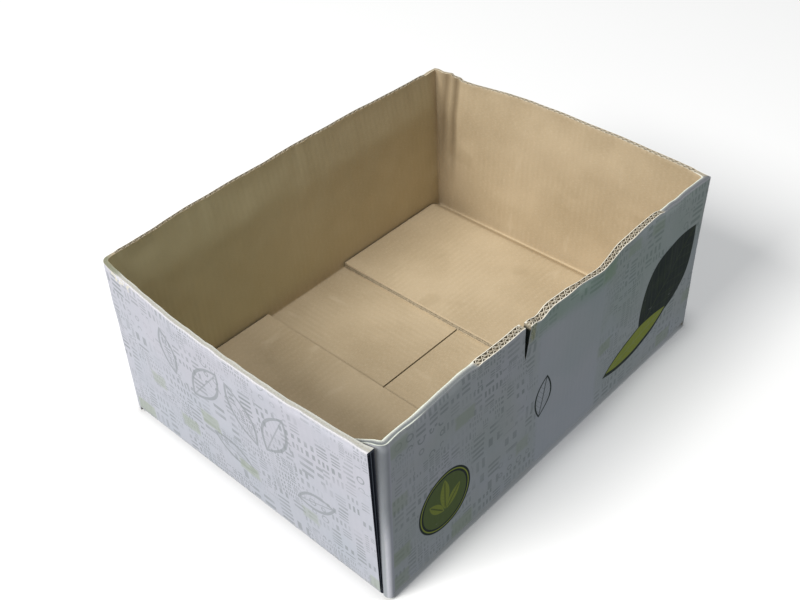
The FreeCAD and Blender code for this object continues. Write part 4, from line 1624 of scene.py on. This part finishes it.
@dataclass(frozen=True)
class KraftPaper:
    """Inner liner: brown paper with fibres, faint flute stripes, rubs and stains."""

    relief: PaperRelief
    far_span: tuple[float, float]
    height: float
    crease_pitch: float = 12.5
    crease_start: float = 8.0

    def make(self) -> bpy.types.Material:
        """Make the material."""
        graph = SheetGraph("kraft_paper")
        coat = Coat(graph, Tone.KRAFT)
        for marks in KRAFT_GRAIN:
            marks.lay(coat)
        faded = graph.noise(graph.place, 0.02).step(0.3, 0.7)
        coat.lay((self.relief.stripe(graph.across) * 0.5 + 0.5) * faded * 0.14, Tone.KRAFT_DARK)
        for marks in KRAFT_RUBS:
            marks.lay(coat)
        rim = (graph.up - self.height).step(-4.0, 0.0)
        coat.lay(rim * graph.noise(graph.place, 0.3, 3.0).step(0.35, 0.6) * 0.5, Tone.KRAFT_LIGHT)
        coat.lay(self._far_tint(graph), Tone.OLIVE_KRAFT)
        coat.lay(self._creases(graph), Tone.KRAFT_SHADE)
        roughness = 0.72 + KRAFT_FIBRES.noise(graph) * 0.15
        return graph.paint(coat.colour, roughness, self.relief.height(graph), shine=0.25)

    def _far_tint(self, graph: SheetGraph) -> Signal:
        """Yellow green light on the inside of the far wall, stronger towards the left."""
        start, end = self.far_span
        on_far = graph.across.step(start - 6.0, start + 4.0) * graph.across.step(end + 6.0, end - 2.0)
        to_left = graph.across.step(start + 60.0, end)
        return on_far * graph.up.step(-2.0, 30.0) * (to_left * 0.4 + 0.22)

    def _creases(self, graph: SheetGraph) -> Signal:
        """Upright shadows between the ridges of the right wall, beside its far corner."""
        past = (self.far_span[0] - self.crease_start) - graph.across
        creased = 1 - abs(((past - 0.35) / self.crease_pitch).fraction() - 0.5) * 2
        creased = (creased * 0.5 + 0.22) * past.step(-3.0, -1.0) * past.step(25.0, 21.0)
        return creased * graph.up.step(25.0, 110.0)


@dataclass(frozen=True)
class CutBoard:
    """Cut edges of the board: the liners' pale edges with pressed fluting between them.

    Places are in millimetres across the sheet, and the depth is a share of the board's
    thickness, 0 on the outer face.
    """

    left_span: tuple[float, float]
    near_end: float
    far_start: float
    open_span: tuple[float, float]
    height: float

    def make(self) -> bpy.types.Material:
        """Make the material."""
        graph = SheetGraph("cut_board")
        cut = graph.node("ShaderNodeAttribute", {"attribute_name": "cut"}).result("Vector")
        depth, along, _ = graph.parts(cut)
        place = graph.vector(graph.across, graph.up, depth * 6.0)
        rough, fine = graph.noise(place, 0.6, 4.0), graph.noise(place, 2.2, 3.0)
        wander = depth + (graph.noise(place, 0.08) - 0.5) * 0.18
        drop = self.height - graph.up
        coat = Coat(graph, Tone.CUT)
        coat.lay(rough.step(0.35, 0.7) * 0.7, Tone.DEEP)
        self._liners(coat, wander, along)
        self._shut_rim(coat, wander, along)
        # Painted shade: the cut edges inside the narrow tear are near black.
        coat.lay(drop.step(0.6, 5.0) * drop.step(40.0, 25.0), Tone.SLIT)
        self._left_rim(coat, wander, along * (0.95 - rough * 0.35))
        coat.lay((fine - 0.5) * 0.8 * along, Tone.KRAFT_DARK)
        # Painted shade: dark grey-green on the rim's cut edge around the far-left corner.
        start, end = self.left_span
        by_far_left = graph.across.step(start - 18.0, start - 8.0)
        by_far_left = by_far_left * graph.across.step(start + 24.0, start + 12.0)
        coat.lay(by_far_left * along * 0.75, Tone.MOSS)
        raw_end = graph.across.step(end - 14.0, end - 12.0) * (1 - along) * drop.step(-1.0, 0.4)
        light = abs(depth - 0.5).step(0.08, 0.02) * 0.25
        coat.lay(raw_end, graph.blend(light, Tone.SHADE, Tone.COOL))
        return graph.paint(coat.colour, 0.85, rough * 0.4 + fine * 0.1, shine=0.15)

    def _liners(self, coat: Coat, wander: Signal, along: Signal) -> None:
        """Pale edges of the three liners, white on the near wall and brown beyond it."""
        across = coat.graph.across
        middle = abs(wander - 0.42).step(0.09, 0.03) * 0.4
        pale = wander.step(0.16, 0.06).at_least(wander.step(0.66, 0.8)).at_least(middle) * along
        skin = Coat(coat.graph, Tone.CREAM)
        skin.lay(across.step(self.near_end + 8.0, self.near_end + 16.0), Tone.KRAFT_LIGHT)
        skin.lay(across.step(self.far_start, self.far_start + 12.0), Tone.KRAFT)
        coat.lay(pale, skin.colour)

    def _shut_rim(self, coat: Coat, wander: Signal, along: Signal) -> None:
        """Rim of the near wall on both sides of its open part, pressed shut and rolled over, with its
        rolled paper painted dark grey as painted shade, darker still beyond the open part.
        """
        across, (start, end) = coat.graph.across, self.open_span
        # Painted shade: the rolled printed paper is much darker than its white, so the rim reads as
        # dark as the shaded face.
        rolled = Coat(coat.graph, Tone.ROLLED)
        rolled.lay(wander.step(0.4, 0.85), Tone.STONE)
        rolled.lay(across.step(end - 2.0, end + 6.0) * 0.5, Tone.SHADE)
        rolled.lay(wander.step(0.8, 0.88), Tone.LINE)
        rolled.lay(wander.step(0.24, 0.12) * across.step(48.0, 30.0) * 0.8, Tone.LINE)
        shut = across.step(start + 2.0, start - 3.0) + across.step(end - 2.0, end + 3.0)
        shut = shut * across.step(self.near_end + 4.0, self.near_end - 2.0) * along
        coat.lay(shut * 0.92, rolled.colour)

    def _left_rim(self, coat: Coat, wander: Signal, strong: Signal) -> None:
        """Rim of the left wall: a bright outer line of white paper with a painted highlight, grey
        fluting and a pale inner line.
        """
        # The bright outer line is white paper brightened as a painted highlight.
        rolled = Coat(coat.graph, Tone.EDGE)
        rolled.lay(wander.step(0.12, 0.3), Tone.STONE)
        rolled.lay(abs(wander - 0.5).step(0.08, 0.03) * 0.4, Tone.CUT)
        rolled.lay(wander.step(0.7, 0.82), Tone.PALE)
        start = self.left_span[0]
        coat.lay(coat.graph.across.step(start, start + 20.0) * strong, rolled.colour)


@dataclass(frozen=True)
class FlutedPaper:
    """Brown paper of the flutes."""

    grain: float = 700.0

    def make(self) -> bpy.types.Material:
        """Make the material."""
        graph = Graph("fluted_paper")
        grain = graph.noise(graph.node("ShaderNodeTexCoord").result("Object"), self.grain, 3.0)
        colour = graph.blend(grain.step(0.35, 0.7), Tone.CREAM, Tone.KRAFT_LIGHT)
        return graph.paint(colour, 0.85, grain * 0.05, shine=0.15)


@dataclass(frozen=True)
class FloorPaint:
    """Pale matt studio floor."""

    clouds: float = 0.8

    def make(self) -> bpy.types.Material:
        """Make the material."""
        graph = Graph("studio_floor")
        clouds = graph.noise(graph.node("ShaderNodeTexCoord").result("Object"), self.clouds)
        colour = graph.blend(clouds, Tone.FLOOR, Tone.FLOOR_LIGHT)
        return graph.paint(colour, 0.9, clouds * 0.01, shine=0.1)


@dataclass(frozen=True)
class Lamp:
    """Square light aimed at the middle of the box."""

    name: str
    place: tuple[float, float, float]
    size: float
    power: float
    colour: Colour
    aim: tuple[float, float, float] = (0.0, 0.0, 0.08)

    def hang(self) -> None:
        """Add the light to the scene."""
        data = bpy.data.lights.new(self.name, "AREA")
        data.size, data.energy, data.color = self.size, self.power, self.colour
        lamp = bpy.data.objects.new(self.name, data)
        lamp.location = self.place
        way = Vector(self.aim) - Vector(self.place)
        lamp.rotation_euler = way.to_track_quat("-Z", "Y").to_euler()
        bpy.context.scene.collection.objects.link(lamp)


@dataclass
class Studio:
    """Floor, lights and camera."""

    floor_size: float = 5.0
    floor_height: float = -0.0005
    sensor: float = 36.0
    clip: tuple[float, float] = (0.01, 50.0)
    sky: Colour = (0.93, 0.97, 1.0)
    sky_strength: float = 0.27
    lamps: tuple[Lamp, ...] = (Lamp("key", (-3.5, 0.8, 3.1), 2.0, 245.0, (1.0, 0.985, 0.96)),
                               Lamp("overhead", (0.05, -0.1, 5.0), 1.0, 85.0, (1.0, 1.0, 0.98)))
    lens: float = 50.64
    eye: tuple[float, float, float] = (-0.5347, -0.49535, 0.67847)
    right: tuple[float, float, float] = (0.671537, -0.740332, -0.030784)
    down: tuple[float, float, float] = (-0.488546, -0.411147, -0.769598)
    forward: tuple[float, float, float] = (0.557101, 0.531853, -0.637786)

    def build(self) -> None:
        """Build all of the stage."""
        self.add_camera()
        self.add_floor()
        self.add_lights()

    def add_camera(self) -> None:
        """Camera at the photograph's place and angle."""
        data = bpy.data.cameras.new("camera")
        data.lens = self.lens
        data.sensor_width = self.sensor
        data.clip_start, data.clip_end = self.clip
        camera = bpy.data.objects.new("camera", data)
        axes = (Vector(self.right), -Vector(self.down), -Vector(self.forward), Vector(self.eye))
        camera.matrix_world = Matrix([[axis[row] for axis in axes] for row in range(3)]
                                     + [[0, 0, 0, 1]])
        bpy.context.scene.collection.objects.link(camera)
        bpy.context.scene.camera = camera

    def add_floor(self) -> None:
        """Pale floor under the box."""
        half = self.floor_size / 2
        mesh = bpy.data.meshes.new("floor")
        mesh.from_pydata([(-half, -half, 0), (half, -half, 0), (half, half, 0), (-half, half, 0)],
                         [], [(0, 1, 2, 3)])
        mesh.materials.append(FloorPaint().make())
        floor = bpy.data.objects.new("floor", mesh)
        floor.location.z = self.floor_height
        bpy.context.scene.collection.objects.link(floor)
        floor.visible_diffuse = False
        floor.visible_glossy = False

    def add_lights(self) -> None:
        """Large key light from the left, a softer one overhead and a dim even sky."""
        for lamp in self.lamps:
            lamp.hang()
        world = bpy.data.worlds.new("sky")
        world.use_nodes = True
        sky = world.node_tree.nodes["Background"]
        sky.inputs["Color"].default_value = (*self.sky, 1.0)
        sky.inputs["Strength"].default_value = self.sky_strength
        bpy.context.scene.world = world
        bpy.context.scene.view_settings.view_transform = "Standard"


def dress(blank: Blank) -> tuple[list[bpy.types.Material], bpy.types.Material]:
    """Make the papers' finishes.

    Args:
        blank: the blank that they cover.

    Returns:
        One material for each side of the board, and the one of the flutes.
    """
    s, plan = blank.sizes, blank.plan
    starts = {stretch.name: blank.across(run) for stretch, run in zip(plan.stretches, plan.starts)}
    middles = tuple(starts[stretch.name] - stretch.span / 2 for stretch in plan.stretches
                    if stretch.name in ("far_left", "far_right", "near_right", "joint"))
    left_span = starts["far_left"], starts["raw_end"]
    far_span = starts["far_right"], starts["far_left"]
    margin, overlap = 1.0, 6.0
    relief = PaperRelief(s.flute_pitch)
    printed = PrintedPaper(relief, (s.fold + margin, s.length + margin),
                           (left_span[0] - overlap, left_span[1]), middles, s.height)
    kraft = KraftPaper(relief, far_span, s.height)
    cut = CutBoard(left_span, s.length, far_span[0], (s.open_from, s.open_to), s.height)
    return [printed.make(), kraft.make(), cut.make()], FlutedPaper().make()


def main() -> None:
    """Build, dress and register the box, then set the stage."""
    logging.basicConfig(level=logging.INFO, format="%(name)s: %(message)s")
    blank = Blank(Plan(SIZES), Handling())
    box = FoldedBox(blank)
    sides, paper = dress(blank)
    board = box.build_board(sides)
    flutes = box.build_flutes(paper)
    for piece in (board, flutes):
        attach(piece, "root")
        LOG.info("%s: %d faces", piece.name, len(piece.data.polygons))
    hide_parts(NODE)
    Studio().build()


if __name__ == "__main__":
    main()
